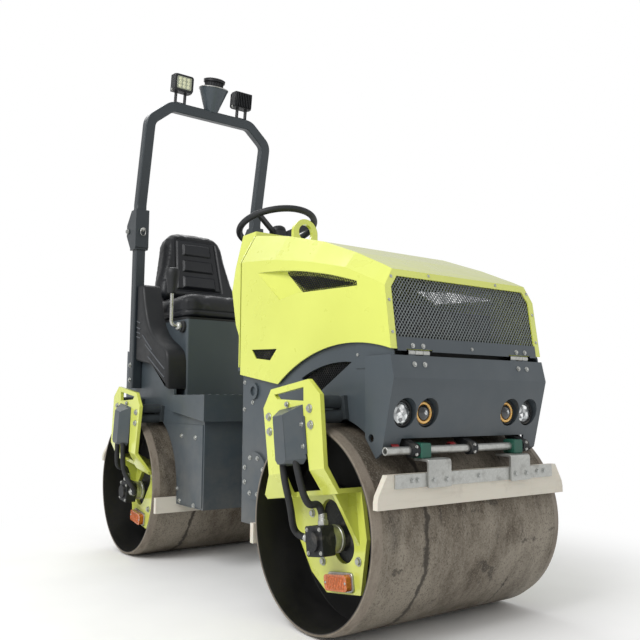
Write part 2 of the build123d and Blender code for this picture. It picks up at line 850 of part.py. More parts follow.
# Rear chassis, mirrored in layout, with side plates that rise under the seat
side_step = (pedestal_front - 5, deck_z + 97)
side_knee = (pedestal_front - 188, deck_z + 210)
side_back = (tail_x + 195, deck_z + 238)
tail_top = deck_z + tail_rise
tail_run = -tail_x - axle_x
with BuildPart() as rear_chassis:
    with BuildSketch(Plane.XZ.offset(rear_frame_half)):
        with BuildLine():
            Polyline(
                (-axle_x + arch_x(arch_foot), arch_foot),
                (-box_wall_x - plate, arch_foot),
                (-box_wall_x - plate, frame_bottom),
                (rear_frame_front, frame_bottom),
                (rear_frame_front, floor_low),
                (side_step[0], floor_low),
                side_step,
                side_knee,
                side_back,
                (tail_x, tail_top),
                (tail_x, arch_z(tail_run)),
            )
            ThreePointArc(
                (tail_x, arch_z(tail_run)),
                (-axle_x, deck_z),
                (-axle_x + arch_x(arch_foot), arch_foot),
            )
        make_face()
    extrude(amount=-plate)
    mirror(about=Plane.XZ)
    with BuildSketch(Plane.XZ):
        Polygon(
            (rear_frame_front, frame_bottom),
            (-box_wall_x - plate, frame_bottom),
            (-box_wall_x - plate, deck_z),
            (tail_x, deck_z),
            (tail_x, deck_top),
            (-box_wall_x, deck_top),
            (-box_wall_x, frame_bottom + plate),
            (rear_frame_front - plate, frame_bottom + plate),
            (rear_frame_front - plate, floor_low),
            (rear_frame_front, floor_low),
            align=None,
        )
        Polygon(
            (tail_x, arch_z(tail_run) + 16),
            (tail_x, tail_top),
            (tail_x + plate, tail_top - 4),
            (tail_x + plate, arch_z(tail_run - plate) + 16),
            align=None,
        )
    extrude(amount=rear_frame_half - plate + 1, both=True)
    # Slot for the steering cylinder
    with BuildSketch(Plane.YZ.offset(rear_frame_front - plate - 5)):
        with Locations((arm_y, frame_bottom + arm_rise)):
            RectangleRounded(130, 120, 20)
    extrude(amount=plate + 10, mode=Mode.SUBTRACT)
save(rear_chassis.part, "rear_chassis")

# Operator's floor with its folded fascia
with BuildPart() as floor_plate:
    with BuildSketch(Plane.XY.offset(floor_low)):
        with Locations(((floor_front + pedestal_front) / 2, 0)):
            Rectangle(floor_front - pedestal_front, 2 * floor_half)
    extrude(amount=floor_sheet)
    with BuildSketch(Plane.YZ.offset(floor_front)):
        with Locations((0, floor_top - fascia_depth / 2)):
            Rectangle(2 * floor_half, fascia_depth)
    extrude(amount=-fascia_sheet)
    with BuildSketch(Plane.XZ.offset(floor_half)):
        Polygon(
            (floor_front, floor_top - fascia_depth),
            (floor_front, floor_top),
            (pedestal_front, floor_top),
            (pedestal_front, floor_top - fascia_rear_depth),
            align=None,
        )
    extrude(amount=-fascia_sheet)
    mirror(about=Plane.XZ)
save(floor_plate.part, "floor_plate")

# Seat base on the deck
with BuildPart() as seat_base:
    with BuildSketch(Plane.XY.offset(deck_top)):
        with Locations(((pedestal_front + pedestal_rear) / 2, 0)):
            Rectangle(pedestal_front - pedestal_rear, 2 * pedestal_half)
    extrude(amount=pedestal_top - deck_top)
    fillet(seat_base.edges().filter_by(Axis.Z), 12)
save(seat_base.part, "seat_base")

# Plastic covers beside the seat, stepped down to a console in front
cover_rear = post_x + tube / 2 + 5
cover_share = (side_knee[0] - cover_rear) / (side_knee[0] - side_back[0])
cover_foot = side_knee[1] + (side_back[1] - side_knee[1]) * cover_share
console_z = deck_z + console_rise
console_back = (pedestal_front - 120, console_z + 12)
cover_brow = (cover_rear + 68, deck_z + cover_top_rise - 13)
with BuildPart() as side_covers:
    with BuildSketch(Plane.XZ.offset(pedestal_half)):
        with BuildLine():
            Polyline(
                (cover_rear, cover_foot),
                side_knee,
                side_step,
                (pedestal_front, side_step[1]),
                (pedestal_front, console_z),
                console_back,
            )
            Spline(
                console_back,
                (cover_rear + 120, console_z + 85),
                cover_brow,
                tangents=((-1, 0.1), (-0.1, 1)),
            )
            Polyline(
                cover_brow,
                (cover_brow[0] - 18, cover_brow[1] + 13),
                (cover_rear, cover_brow[1] + 13),
                (cover_rear, cover_foot),
            )
        make_face()
    extrude(amount=cover_outer - pedestal_half)
    mirror(about=Plane.XZ)
save(side_covers.part, "side_covers")

# Seat: pan, cushion and backrest
seat_front = pedestal_front - seat_setback
with BuildPart() as seat_plate:
    with BuildSketch(Plane.XY.offset(pedestal_top)):
        with Locations((seat_front - seat_depth / 2 - 20, 0)):
            RectangleRounded(seat_depth, 2 * seat_half - 30, 40)
    extrude(amount=seat_pan_thickness)
save(seat_plate.part, "seat_pan")

cushion_bottom = pedestal_top + seat_pan_thickness
with BuildPart() as cushion:
    with BuildSketch(Plane.XY.offset(cushion_bottom)):
        with Locations((seat_front - seat_depth / 2, 0)):
            RectangleRounded(seat_depth, 2 * seat_half, 70)
    extrude(amount=seat_thickness)
    fillet(cushion.faces().sort_by(Axis.Z)[-1].edges(), 38)
save(cushion.part, "seat_cushion")

back_low = Vector(seat_front - seat_depth + 70, 0, cushion_bottom + seat_thickness)
lean_back = radians(backrest_lean)
back_face = Plane(back_low, x_dir=(0, 1, 0), z_dir=(cos(lean_back), 0, sin(lean_back)))
back_shoulder = (seat_half - 72, backrest_height - 70)
back_foot = seat_half - 32
with BuildPart() as backrest:
    with BuildSketch(back_face):
        with BuildLine():
            Polyline((-back_foot, 0), (back_foot, 0), (back_foot + 4, 60), back_shoulder)
            ThreePointArc(back_shoulder, (0, backrest_height), (-back_shoulder[0], back_shoulder[1]))
            Polyline((-back_shoulder[0], back_shoulder[1]), (-back_foot - 4, 60), (-back_foot, 0))
        make_face()
    extrude(amount=-backrest_thickness)
    fillet(backrest.faces().sort_by(Axis(tuple(back_low), tuple(back_face.z_dir)))[-1].edges(), 30)
    add(cushion.part, mode=Mode.SUBTRACT)
save(backrest.part, "seat_back")

# Travel lever: out of the seat base over the right console, then up to its grip
lever_x = pedestal_front - lever_setback
lever_z = console_z + 26
lever_out = pedestal_half + 62
lever_path = ((lever_x, -pedestal_half - 9, lever_z), (lever_x, -lever_out, lever_z),
              (lever_x, -lever_out, lever_z + 150))
with BuildPart() as lever:
    with BuildSketch(Plane.XZ.offset(pedestal_half)):
        with Locations((lever_x, lever_z)):
            Circle(2 * lever_radius)
    extrude(amount=10)
    with BuildLine():
        FilletPolyline(*lever_path, radius=22)
    with BuildSketch(Plane(lever_path[0], z_dir=(0, -1, 0))):
        Circle(lever_radius)
    sweep()
    for height, radius in ((130, 15), (255, 24), (295, 17)):
        with BuildSketch(Plane.XY.offset(lever_z + height)):
            with Locations((lever_x, -lever_out)):
                Circle(radius)
    loft()
save(lever.part, "travel_lever")

# Roll-over posts, bolted to the rear side plates, each with a channel that takes the folding hoop's leg
hoop_pivot_x = post_x - pivot_setback
hoop_pivot_z = deck_z + pivot_rise
leg_bottom = hoop_pivot_z + 6
channel_low = hoop_pivot_z - 90
channel_top = hoop_pivot_z + channel_reach
channel_width = tube + 2 * (channel_gap + channel_sheet)
post_bottom = deck_z + post_bottom_rise
with BuildPart() as posts:
    with BuildSketch(Plane.XY.offset(post_bottom)):
        with Locations((post_x, -post_mid)):
            RectangleRounded(tube, tube, tube_corner)
    extrude(amount=hoop_pivot_z - 10 - post_bottom)
    with BuildSketch(Plane.XY.offset(channel_low - 10)):
        with Locations((post_x, -post_mid)):
            Rectangle(tube + 12, channel_width)
    extrude(amount=50)
    for start in (post_mid + tube / 2 + channel_gap, post_mid - channel_width / 2):
        with BuildSketch(Plane.XZ.offset(start)):
            Polygon(
                (post_x + tube / 2 + 6, channel_low),
                (post_x + tube / 2 + 6, channel_top),
                (post_x - tube / 2, channel_top),
                (hoop_pivot_x - 26, hoop_pivot_z + 34),
                (hoop_pivot_x - 26, hoop_pivot_z - 20),
                (post_x - tube / 2 - 6, channel_low),
                align=None,
            )
        extrude(amount=channel_sheet)
    with BuildSketch(Plane.XY.offset(channel_low)):
        with Locations((post_x + tube / 2 + channel_gap + 5, -post_mid)):
            Rectangle(10, channel_width)
    extrude(amount=channel_top - channel_low)
    with BuildSketch(Plane.XZ.offset(post_mid - channel_width / 2 - 5)):
        with Locations((hoop_pivot_x, hoop_pivot_z)):
            Circle(hoop_pin)
    extrude(amount=channel_width + 10)
    mirror(about=Plane.XZ)
save(posts.part, "rops_posts")

# Hoop: one bent tube on two ears, leaning forward above the channels
hoop_x = post_x + hoop_forward
hoop_top = deck_z + hoop_rise
hoop_bend_z = hoop_top - hoop_bend_drop
hoop_path = (
    (post_x, -post_mid, leg_bottom),
    (post_x, -post_mid, channel_top + 30),
    (hoop_x - 8, -post_mid, hoop_bend_z),
    (hoop_x, -hoop_top_half + 18, hoop_top - tube / 2),
    (hoop_x, hoop_top_half - 18, hoop_top - tube / 2),
    (hoop_x - 8, post_mid, hoop_bend_z),
    (post_x, post_mid, channel_top + 30),
    (post_x, post_mid, leg_bottom),
)
with BuildPart() as hoop:
    with BuildLine() as hoop_line:
        FilletPolyline(*hoop_path, radius=60)
    with BuildSketch(Plane(hoop_path[0], x_dir=(1, 0, 0), z_dir=(0, 0, 1))):
        RectangleRounded(tube, tube, tube_corner)
    sweep()
    for side in (-1, 1):
        with BuildSketch(Plane.XZ.offset(side * post_mid - tube / 2 + 1)):
            with Locations((hoop_pivot_x, hoop_pivot_z)):
                Circle(24)
            Polygon(
                (hoop_pivot_x - 24, hoop_pivot_z),
                (hoop_pivot_x + 18, hoop_pivot_z + 7),
                (post_x, leg_bottom + 1),
                (post_x, channel_top + 10),
                (post_x - tube / 2 + 2, channel_top + 10),
                align=None,
            )
            with Locations((hoop_pivot_x, hoop_pivot_z)):
                Circle(hoop_pin + 0.3, mode=Mode.SUBTRACT)
        extrude(amount=tube - 2)
save(hoop.part, "rops_hoop")

# Work lamps on forked brackets, one forward and one rearward, on the hoop's top bar
def leaning(y, degrees):
    """Plane on the top bar at a place across it, leaning forward."""
    lean = radians(degrees)
    return Plane((hoop_x, y, hoop_top), x_dir=(cos(lean), 0, -sin(lean)), z_dir=(sin(lean), 0, cos(lean)))


with BuildPart() as work_lamps:
    for side, facing in ((-1, 1), (1, -1)):
        level = leaning(side * work_lamp_y, work_lamp_lean)
        with BuildSketch(level.offset(-3)):
            Rectangle(28, 56)
        extrude(amount=8)
        with BuildSketch(level):
            with Locations((0, -25), (0, 25)):
                Rectangle(24, 6)
        extrude(amount=work_lamp_rise + 4)
        with BuildSketch(level.offset(work_lamp_rise)):
            with Locations((facing * 6, 0)):
                RectangleRounded(work_lamp_depth, work_lamp_width, 8)
        extrude(amount=work_lamp_height)
    add(hoop.part, mode=Mode.SUBTRACT)
save(work_lamps.part, "work_lamps")

# Funnel pedestal with a rim plate, and the beacon on it
beacon_foot = leaning(0, beacon_lean).offset(-4)
with BuildPart() as pedestal:
    for low, high in (((0, 33), (99, 68)), ((99, 68), (116, 74))):
        for height, radius in (low, high):
            with BuildSketch(beacon_foot.offset(height)):
                Circle(radius)
        loft()
    with BuildSketch(beacon_foot.offset(116)):
        Circle(75)
    extrude(amount=6)
    add(hoop.part, mode=Mode.SUBTRACT)
save(pedestal.part, "beacon_pedestal")
with BuildPart() as beacon:
    with BuildSketch(beacon_foot.offset(122)):
        Circle(beacon_radius)
    extrude(amount=34)
    with BuildSketch(beacon_foot.offset(154)):
        Circle(beacon_radius + 9)
    extrude(amount=12)
save(beacon.part, "beacon")

# Engine and radiator under the hood
engine_x = (front_frame_rear + bumper_rear) / 2
with BuildPart() as engine:
    with BuildSketch(Plane.XY.offset(deck_top)):
        with Locations((engine_x, 0)):
            RectangleRounded(520, 400, 20)
    extrude(amount=230)
    with BuildSketch(Plane.XY.offset(deck_top + 230)):
        with Locations((engine_x - 20, 20)):
            RectangleRounded(400, 250, 20)
    extrude(amount=140)
    with BuildSketch(Plane.XY.offset(deck_top)):
        with Locations((bumper_rear - 60, 0)):
            Rectangle(60, 500)
    extrude(amount=330)
save(engine.part, "engine_block")

# Dash cowl with a bulkhead that closes the hood's rear, the steering column and the lifting eye
with BuildPart() as cowl:
    with BuildSketch(Plane.XZ.offset(-cowl_half)):
        Polygon(
            (cowl_front, cowl_low),
            (cowl_front, cowl_top),
            (cowl_front - 100, cowl_top),
            (cowl_front - 158, cowl_top - 126),
            (cowl_front - 183, cowl_top - 216),
            (cowl_front - 148, cowl_low + 175),
            (cowl_front - 48, cowl_low),
            align=None,
        )
    extrude(amount=2 * cowl_half)
    with BuildSketch(Plane.YZ.offset(cowl_front)):
        brow, top, half = stations[0][1:]
        Polygon(
            (-hood_half, cowl_low),
            (-hood_half, brow),
            (-half, top),
            (half, top),
            (hood_half, brow),
            (hood_half, cowl_low),
            align=None,
        )
    extrude(amount=-6)
save(cowl.part, "dash_cowl")

wheel_centre = (wheel_x, 0, deck_z + wheel_rise)
tilt = radians(wheel_tilt)
wheel_plane = Plane(wheel_centre, x_dir=(0, 1, 0), z_dir=(-sin(tilt), 0, cos(tilt)))
wheel_axis = wheel_plane.z_dir
with BuildPart() as column:
    with BuildSketch(wheel_plane.offset(-wheel_dish - 22)):
        Circle(30)
    extrude(amount=-250)
    with BuildSketch(wheel_plane.offset(-wheel_dish - 22)):
        Circle(wheel_shaft)
    extrude(amount=32)
    add(cowl.part, mode=Mode.SUBTRACT)
save(column.part, "steering_column")

rim_radius = wheel_radius - wheel_rim
with BuildPart() as wheel:
    with BuildSketch(Plane(wheel_centre, x_dir=(0, 1, 0), z_dir=(cos(tilt), 0, sin(tilt)))):
        with Locations((rim_radius, 0)):
            Circle(wheel_rim)
    revolve(axis=Axis(wheel_centre, tuple(wheel_axis)))
    for height, radius in ((-20, 46), (22, 34)):
        with BuildSketch(wheel_plane.offset(height - wheel_dish)):
            Circle(radius)
    loft()
    for turn in (90, 210, 330):
        direction = Vector(0, 1, 0).rotate(Axis((0, 0, 0), tuple(wheel_axis)), turn)
        low = wheel_plane.origin - wheel_axis * (wheel_dish - 2) + direction * 25
        high = wheel_plane.origin + direction * rim_radius
        slope = (high - low).normalized()
        with BuildSketch(Plane(low, x_dir=direction.cross(slope).normalized(), z_dir=slope)):
            Rectangle(12, 30)
        extrude(amount=(high - low).length)
    with BuildSketch(wheel_plane.offset(-wheel_dish - 21)):
        Circle(wheel_shaft + running_clearance)
    extrude(amount=33, mode=Mode.SUBTRACT)
save(wheel.part, "steering_wheel")

with BuildPart() as eye:
    with BuildSketch(Plane.YZ.offset(cowl_front - 60)):
        with Locations((0, cowl_top + 36)):
            Circle(eye_radius)
        with Locations((0, cowl_top + 18)):
            Rectangle(2 * eye_radius, 36)
        with Locations((0, cowl_top + 40)):
            Circle(eye_hole, mode=Mode.SUBTRACT)
    extrude(amount=18)
    add(cowl.part, mode=Mode.SUBTRACT)
save(eye.part, "lifting_eye")

# Centre joint: two lugs and the pin on the rear frame, one tongue on the front frame
lug_low = frame_bottom + lug_rise
tongue_low = lug_low + lug_thick + tongue_gap
lug_high = tongue_low + tongue_height + tongue_gap
with BuildPart() as knuckle_rear:
    for z in (lug_low, lug_high):
        with BuildSketch(Plane.XY.offset(z)):
            with Locations((pivot_x, 0)):
                Circle(lug_radius)
            Polygon(
                (rear_frame_front, -130),
                (rear_frame_front, 96),
                (pivot_x, lug_radius),
                (pivot_x, -lug_radius),
                align=None,
            )
        extrude(amount=lug_thick)
    with BuildSketch(Plane.XY.offset(lug_low - 12)):
        with Locations((pivot_x, 0)):
            Circle(joint_pin)
    extrude(amount=lug_high + lug_thick + 24 - lug_low)
save(knuckle_rear.part, "rear_knuckle")

arm_z = frame_bottom + arm_rise
with BuildPart() as knuckle_front:
    with BuildSketch(Plane.XY.offset(tongue_low)):
        with Locations((pivot_x, 0)):
            Circle(lug_radius)
        Polygon(
            (front_frame_rear, -130),
            (front_frame_rear, 130),
            (pivot_x, lug_radius),
            (pivot_x, -lug_radius),
            align=None,
        )
        with Locations((pivot_x, 0)):
            Circle(joint_pin + running_clearance, mode=Mode.SUBTRACT)
    extrude(amount=tongue_height)
    # Steering arm with the cylinder's pin
    with BuildSketch(Plane.XY.offset(arm_z - 34)):
        Polygon(
            (front_frame_rear, 80),
            (front_frame_rear, 200),
            (pivot_x + 10, arm_y + 26),
            (pivot_x - 14, arm_y + 22),
            (pivot_x - 14, arm_y - 22),
            (pivot_x + 60, 60),
            align=None,
        )
    extrude(amount=16)
    with BuildSketch(Plane.XY.offset(arm_z - 34)):
        with Locations((pivot_x, arm_y)):
            Circle(arm_pin)
    extrude(amount=54)
save(knuckle_front.part, "front_knuckle")

# Steering cylinder: the barrel on the rear frame, the rod drawn by the steering arm
barrel_start = -box_wall_x + 32
barrel_end = rear_frame_front + 10
cylinder_y = arm_y - 8
with BuildPart() as barrel:
    with BuildSketch(Plane.YZ.offset(barrel_start)):
        with Locations((cylinder_y, arm_z)):
            Circle(barrel_radius)
            Circle(rod_radius + rod_gap, mode=Mode.SUBTRACT)
    extrude(amount=barrel_end - barrel_start)
    with BuildSketch(Plane.YZ.offset(barrel_start)):
        with Locations((cylinder_y, arm_z)):
            Circle(barrel_radius)
    extrude(amount=20)
    with BuildSketch(Plane.YZ.offset(-box_wall_x)):
        with Locations((cylinder_y, arm_z)):
            Rectangle(60, 60)
    extrude(amount=barrel_start + box_wall_x)
save(barrel.part, "cylinder_barrel")

rod_start = barrel_start + 110
with BuildPart() as rod:
    with BuildSketch(Plane.YZ.offset(rod_start)):
        with Locations((cylinder_y, arm_z)):
            Circle(rod_radius)
    extrude(amount=pivot_x - 30 - rod_start)
    with BuildSketch(Plane.XY.offset(arm_z - 12)):
        with Locations((pivot_x, cylinder_y)):
            Circle(40)
            Circle(arm_pin + 16, mode=Mode.SUBTRACT)
    extrude(amount=24)
save(rod.part, "cylinder_rod")

# Scrapers: blades on a rod under each end, and fixed blades between the drums
blade_low = axle_z + blade_rise
blade_high = blade_low + blade_height
blade_x = axle_x + sqrt((drum_radius + blade_gap) ** 2 - blade_rise**2)
blade_front = blade_x + blade_thick
with BuildPart() as blades:
    with BuildSketch(Plane.XZ.offset(-drum_width / 2)):
        with Locations((blade_x + blade_thick / 2, blade_low + blade_height / 2)):
            Rectangle(blade_thick, blade_height)
        with Locations((inner_x - blade_thick / 2, inner_low + inner_blade_height / 2)):
            Rectangle(blade_thick, inner_blade_height)
    extrude(amount=drum_width)
    # Upper corners cut back
    with BuildSketch(Plane.YZ.offset(blade_x - 1)):
        for side in (-1, 1):
            Polygon(
                (side * (drum_width / 2 + 1), blade_high + 1),
                (side * (drum_width / 2 - blade_cut), blade_high + 1),
                (side * (drum_width / 2 - 4), blade_low + 38),
                (side * (drum_width / 2 + 1), blade_low + 16),
                align=None,
            )
    extrude(amount=blade_thick + 2, mode=Mode.SUBTRACT)
save(blades.part, "front_scraper_blades")
save(mirror(blades.part, about=Plane.YZ), "rear_scraper_blades")

rod_x = nose_x - 20
rod_z = tip_z + 24
strip_half = drum_width / 2 - 60
with BuildPart() as mounts:
    with BuildSketch(Plane.XZ.offset(-scraper_rod_left)):
        with Locations((rod_x, rod_z)):
            Circle(scraper_rod)
    extrude(amount=scraper_rod_left + scraper_rod_right)
    for y in (-scraper_arm_y, scraper_arm_y):
        with BuildSketch(Plane.XZ.offset(y - scraper_arm / 2)):
            Polygon(
                (rod_x - 16, rod_z + 18),
                (rod_x + 16, rod_z + 18),
                (rod_x + 30, rod_z - 30),
                (blade_front + 10, blade_high - 10),
                (blade_front + 10, blade_low + 30),
                (blade_front, blade_low + 30),
                (blade_front, blade_high),
                (rod_x + 8, rod_z - 30),
                align=None,
            )
        extrude(amount=scraper_arm)
    with BuildSketch(Plane.XZ.offset(-strip_half)):
        with Locations((blade_front + 2.5, blade_low + blade_height / 2 + 7)):
            Rectangle(5, blade_height - 55)
    extrude(amount=2 * strip_half)
    for y in (-250, 250):
        with BuildSketch(Plane.XZ.offset(y - 30)):
            Polygon(
                (inner_x - blade_thick, inner_low + 15),
                (inner_x - blade_thick, frame_bottom),
                (front_frame_rear + 60, frame_bottom),
                (front_frame_rear + 60, frame_bottom - 10),
                (inner_x - blade_thick - 10, frame_bottom - 10),
                (inner_x - blade_thick - 10, inner_low + 15),
                align=None,
            )
        extrude(amount=60)
save(mounts.part, "front_scraper_mounts")
save(mirror(mounts.part, about=Plane.YZ), "rear_scraper_mounts")

# Clamps that hold the scraper rods to the lamp plate in front and to the tail plate behind
front_foot = (
    (lamp_plate_x - 8, rod_z + 24),
    (lamp_plate_x - 8, lamp_z - 6),
    (lamp_plate_x, lamp_z - 6),
    (lamp_plate_x, rod_z + 40),
)
rear_foot = ((-tail_x, rod_z - 20), (-tail_x, rod_z + 20))
for name, foot, end in (("front_scraper_clamps", front_foot, 1), ("rear_scraper_clamps", rear_foot, -1)):
    with BuildPart() as clamps:
        for y in (-240, 0, 240):
            with BuildSketch(Plane.XZ.offset(y - 14)):
                with Locations((rod_x, rod_z)):
                    Circle(scraper_rod + 8)
                Polygon((rod_x, rod_z + 20), (rod_x, rod_z - 20), *foot, align=None)
                with Locations((rod_x, rod_z)):
                    Circle(scraper_rod + running_clearance, mode=Mode.SUBTRACT)
            extrude(amount=28)
        if end < 0:
            mirror(about=Plane.YZ, mode=Mode.REPLACE)
    save(clamps.part, name)
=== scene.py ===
import math
from functools import partial

import bmesh
import bpy
import numpy as np
from mathutils import Matrix, Vector


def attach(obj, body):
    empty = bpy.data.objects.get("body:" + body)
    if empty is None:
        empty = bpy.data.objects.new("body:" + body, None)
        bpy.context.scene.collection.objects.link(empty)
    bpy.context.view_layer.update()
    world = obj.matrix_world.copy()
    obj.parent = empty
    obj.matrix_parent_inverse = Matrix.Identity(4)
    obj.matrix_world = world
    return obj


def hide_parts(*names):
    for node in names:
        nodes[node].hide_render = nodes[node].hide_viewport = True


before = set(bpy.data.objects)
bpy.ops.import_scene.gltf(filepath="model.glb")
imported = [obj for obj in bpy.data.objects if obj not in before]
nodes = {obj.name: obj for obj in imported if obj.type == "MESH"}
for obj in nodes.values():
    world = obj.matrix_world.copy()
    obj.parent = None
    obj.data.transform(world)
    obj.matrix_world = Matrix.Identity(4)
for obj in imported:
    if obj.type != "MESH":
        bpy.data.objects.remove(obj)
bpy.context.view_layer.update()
mm = 0.001
print("frame loaded", len(nodes), "nodes")


def linearColour(hexCode):
    channels = [int(hexCode[i:i + 2], 16) / 255 for i in (0, 2, 4)]
    return [c / 12.92 if c <= 0.04045 else ((c + 0.055) / 1.055) ** 2.4 for c in channels] + [1.0]


def addNode(tree, kind, settings=None, inputs=None, out=None):
    # sockets by number: Map Range has from in 1 and 2, to in 3 and 4; a colour Mix takes 0, 6, 7 and gives 2
    node = tree.nodes.new(kind)
    for name, value in (settings or {}).items():
        setattr(node, name, value)
    for name, value in (inputs or {}).items():
        many = isinstance(value, list) and isinstance(value[0], bpy.types.NodeSocket)
        for item in value if many else [value]:
            if isinstance(item, bpy.types.NodeSocket):
                tree.links.new(item, node.inputs[name])
            else:
                node.inputs[name].default_value = item
    return node if out is None else node.outputs[out]


# settings that many nodes share
colourMix = {"data_type": "RGBA"}
times = {"operation": "MULTIPLY"}
larger = {"operation": "MAXIMUM"}


def startMaterial(name, inputs=None):
    material = bpy.data.materials.new(name)
    material.use_nodes = True
    tree = material.node_tree
    tree.nodes.clear()
    add = partial(addNode, tree)
    shader = add("ShaderNodeBsdfPrincipled", None, inputs)
    add("ShaderNodeOutputMaterial", None, {"Surface": shader.outputs["BSDF"]})
    return material, add, shader, add("ShaderNodeTexCoord", None, None, "Object")


def feed(shader, inputs):
    for name, socket in inputs.items():
        shader.id_data.links.new(socket, shader.inputs[name])


def worn(add, place, low, high, most):
    # thin road film, thickest near the ground and broken up
    height = add("ShaderNodeSeparateXYZ", None, {"Vector": place}, "Z")
    lift = add("ShaderNodeMapRange", None, {"Value": height, 1: low, 2: high, 3: most, 4: 0.0}, "Result")
    patch = add("ShaderNodeTexNoise", None,
                {"Vector": place, "Scale": 9.0, "Detail": 6.0, "Roughness": 0.65}, "Fac")
    broken = add("ShaderNodeMapRange", None, {"Value": patch, 1: 0.38, 2: 0.7}, "Result")
    return add("ShaderNodeMath", times, {0: lift, 1: broken}, 0)


def relief(add, shader, height, depth, strength, rounding=0.0):
    inputs = {"Height": height, "Distance": depth, "Strength": strength}
    if rounding:  # softens the light along every folded or sawn edge
        inputs["Normal"] = add("ShaderNodeBevel", {"samples": 6}, {"Radius": rounding}, "Normal")
    feed(shader, {"Normal": add("ShaderNodeBump", None, inputs, "Normal")})


limeLook = {"colour": "D6DE62", "deep": "CED559", "dust": "A79B78", "peel": 3.0, "edge": 2.5,
            "roughness": 0.3, "coat": 0.8, "film": 0.1}
greyLook = {"colour": "424B51", "deep": "3A4349", "dust": "8A8378", "peel": 1.6, "edge": 2.0,
            "roughness": 0.42, "coat": 0.15, "film": 0.3}
rackLook = {"colour": "262F34", "deep": "21292E", "dust": "7D7A72", "peel": 1.6, "edge": 2.0,
            "roughness": 0.4, "coat": 0.2, "film": 0.25}


def paintedSheet(name, look):
    # sprayed enamel on folded sheet: even colour, faint orange peel, a soft highlight on every fold
    material, add, shader, place = startMaterial(name, {"Coat Weight": look["coat"], "Coat Roughness": 0.12})
    cloud = add("ShaderNodeTexNoise", None, {"Vector": place, "Scale": 2.2, "Detail": 3.0}, "Fac")
    cloud = add("ShaderNodeMapRange", None, {"Value": cloud, 1: 0.35, 2: 0.65}, "Result")
    base = add("ShaderNodeMix", colourMix,
               {0: cloud, 6: linearColour(look["colour"]), 7: linearColour(look["deep"])}, 2)
    dust = worn(add, place, 0.15, 0.8, look["film"])
    base = add("ShaderNodeMix", colourMix, {0: dust, 6: base, 7: linearColour(look["dust"])}, 2)
    smear = add("ShaderNodeTexNoise", None, {"Vector": place, "Scale": 14.0, "Detail": 5.0}, "Fac")
    rough = {"Value": smear, 1: 0.3, 2: 0.7, 3: look["roughness"] - 0.05, 4: look["roughness"] + 0.08}
    feed(shader, {"Base Color": base, "Roughness": add("ShaderNodeMapRange", None, rough, "Result")})
    peel = add("ShaderNodeTexNoise", None,
               {"Vector": place, "Scale": 1 / (look["peel"] * mm), "Detail": 1.0}, "Fac")
    relief(add, shader, peel, 0.12 * mm, 0.35, look["edge"] * mm)
    return material


# each crack has its place across the drum, its width and the share of it that is bare
drumLook = {"film": ("8D8577", "574D40"), "ring": "918A7E", "wet": "342E27", "pit": "453B30",
            "rim": ("8C8276", "5C4E3E"), "inside": ("0D0D0D", "171615"), "radius": 0.315, "halfWidth": 0.4,
            "shoulder": 0.032, "wall": 0.015,
            "cracks": ((-0.205, 0.012, 0.25), (0.19, 0.004, 0.42), (0.04, 0.003, 0.55))}


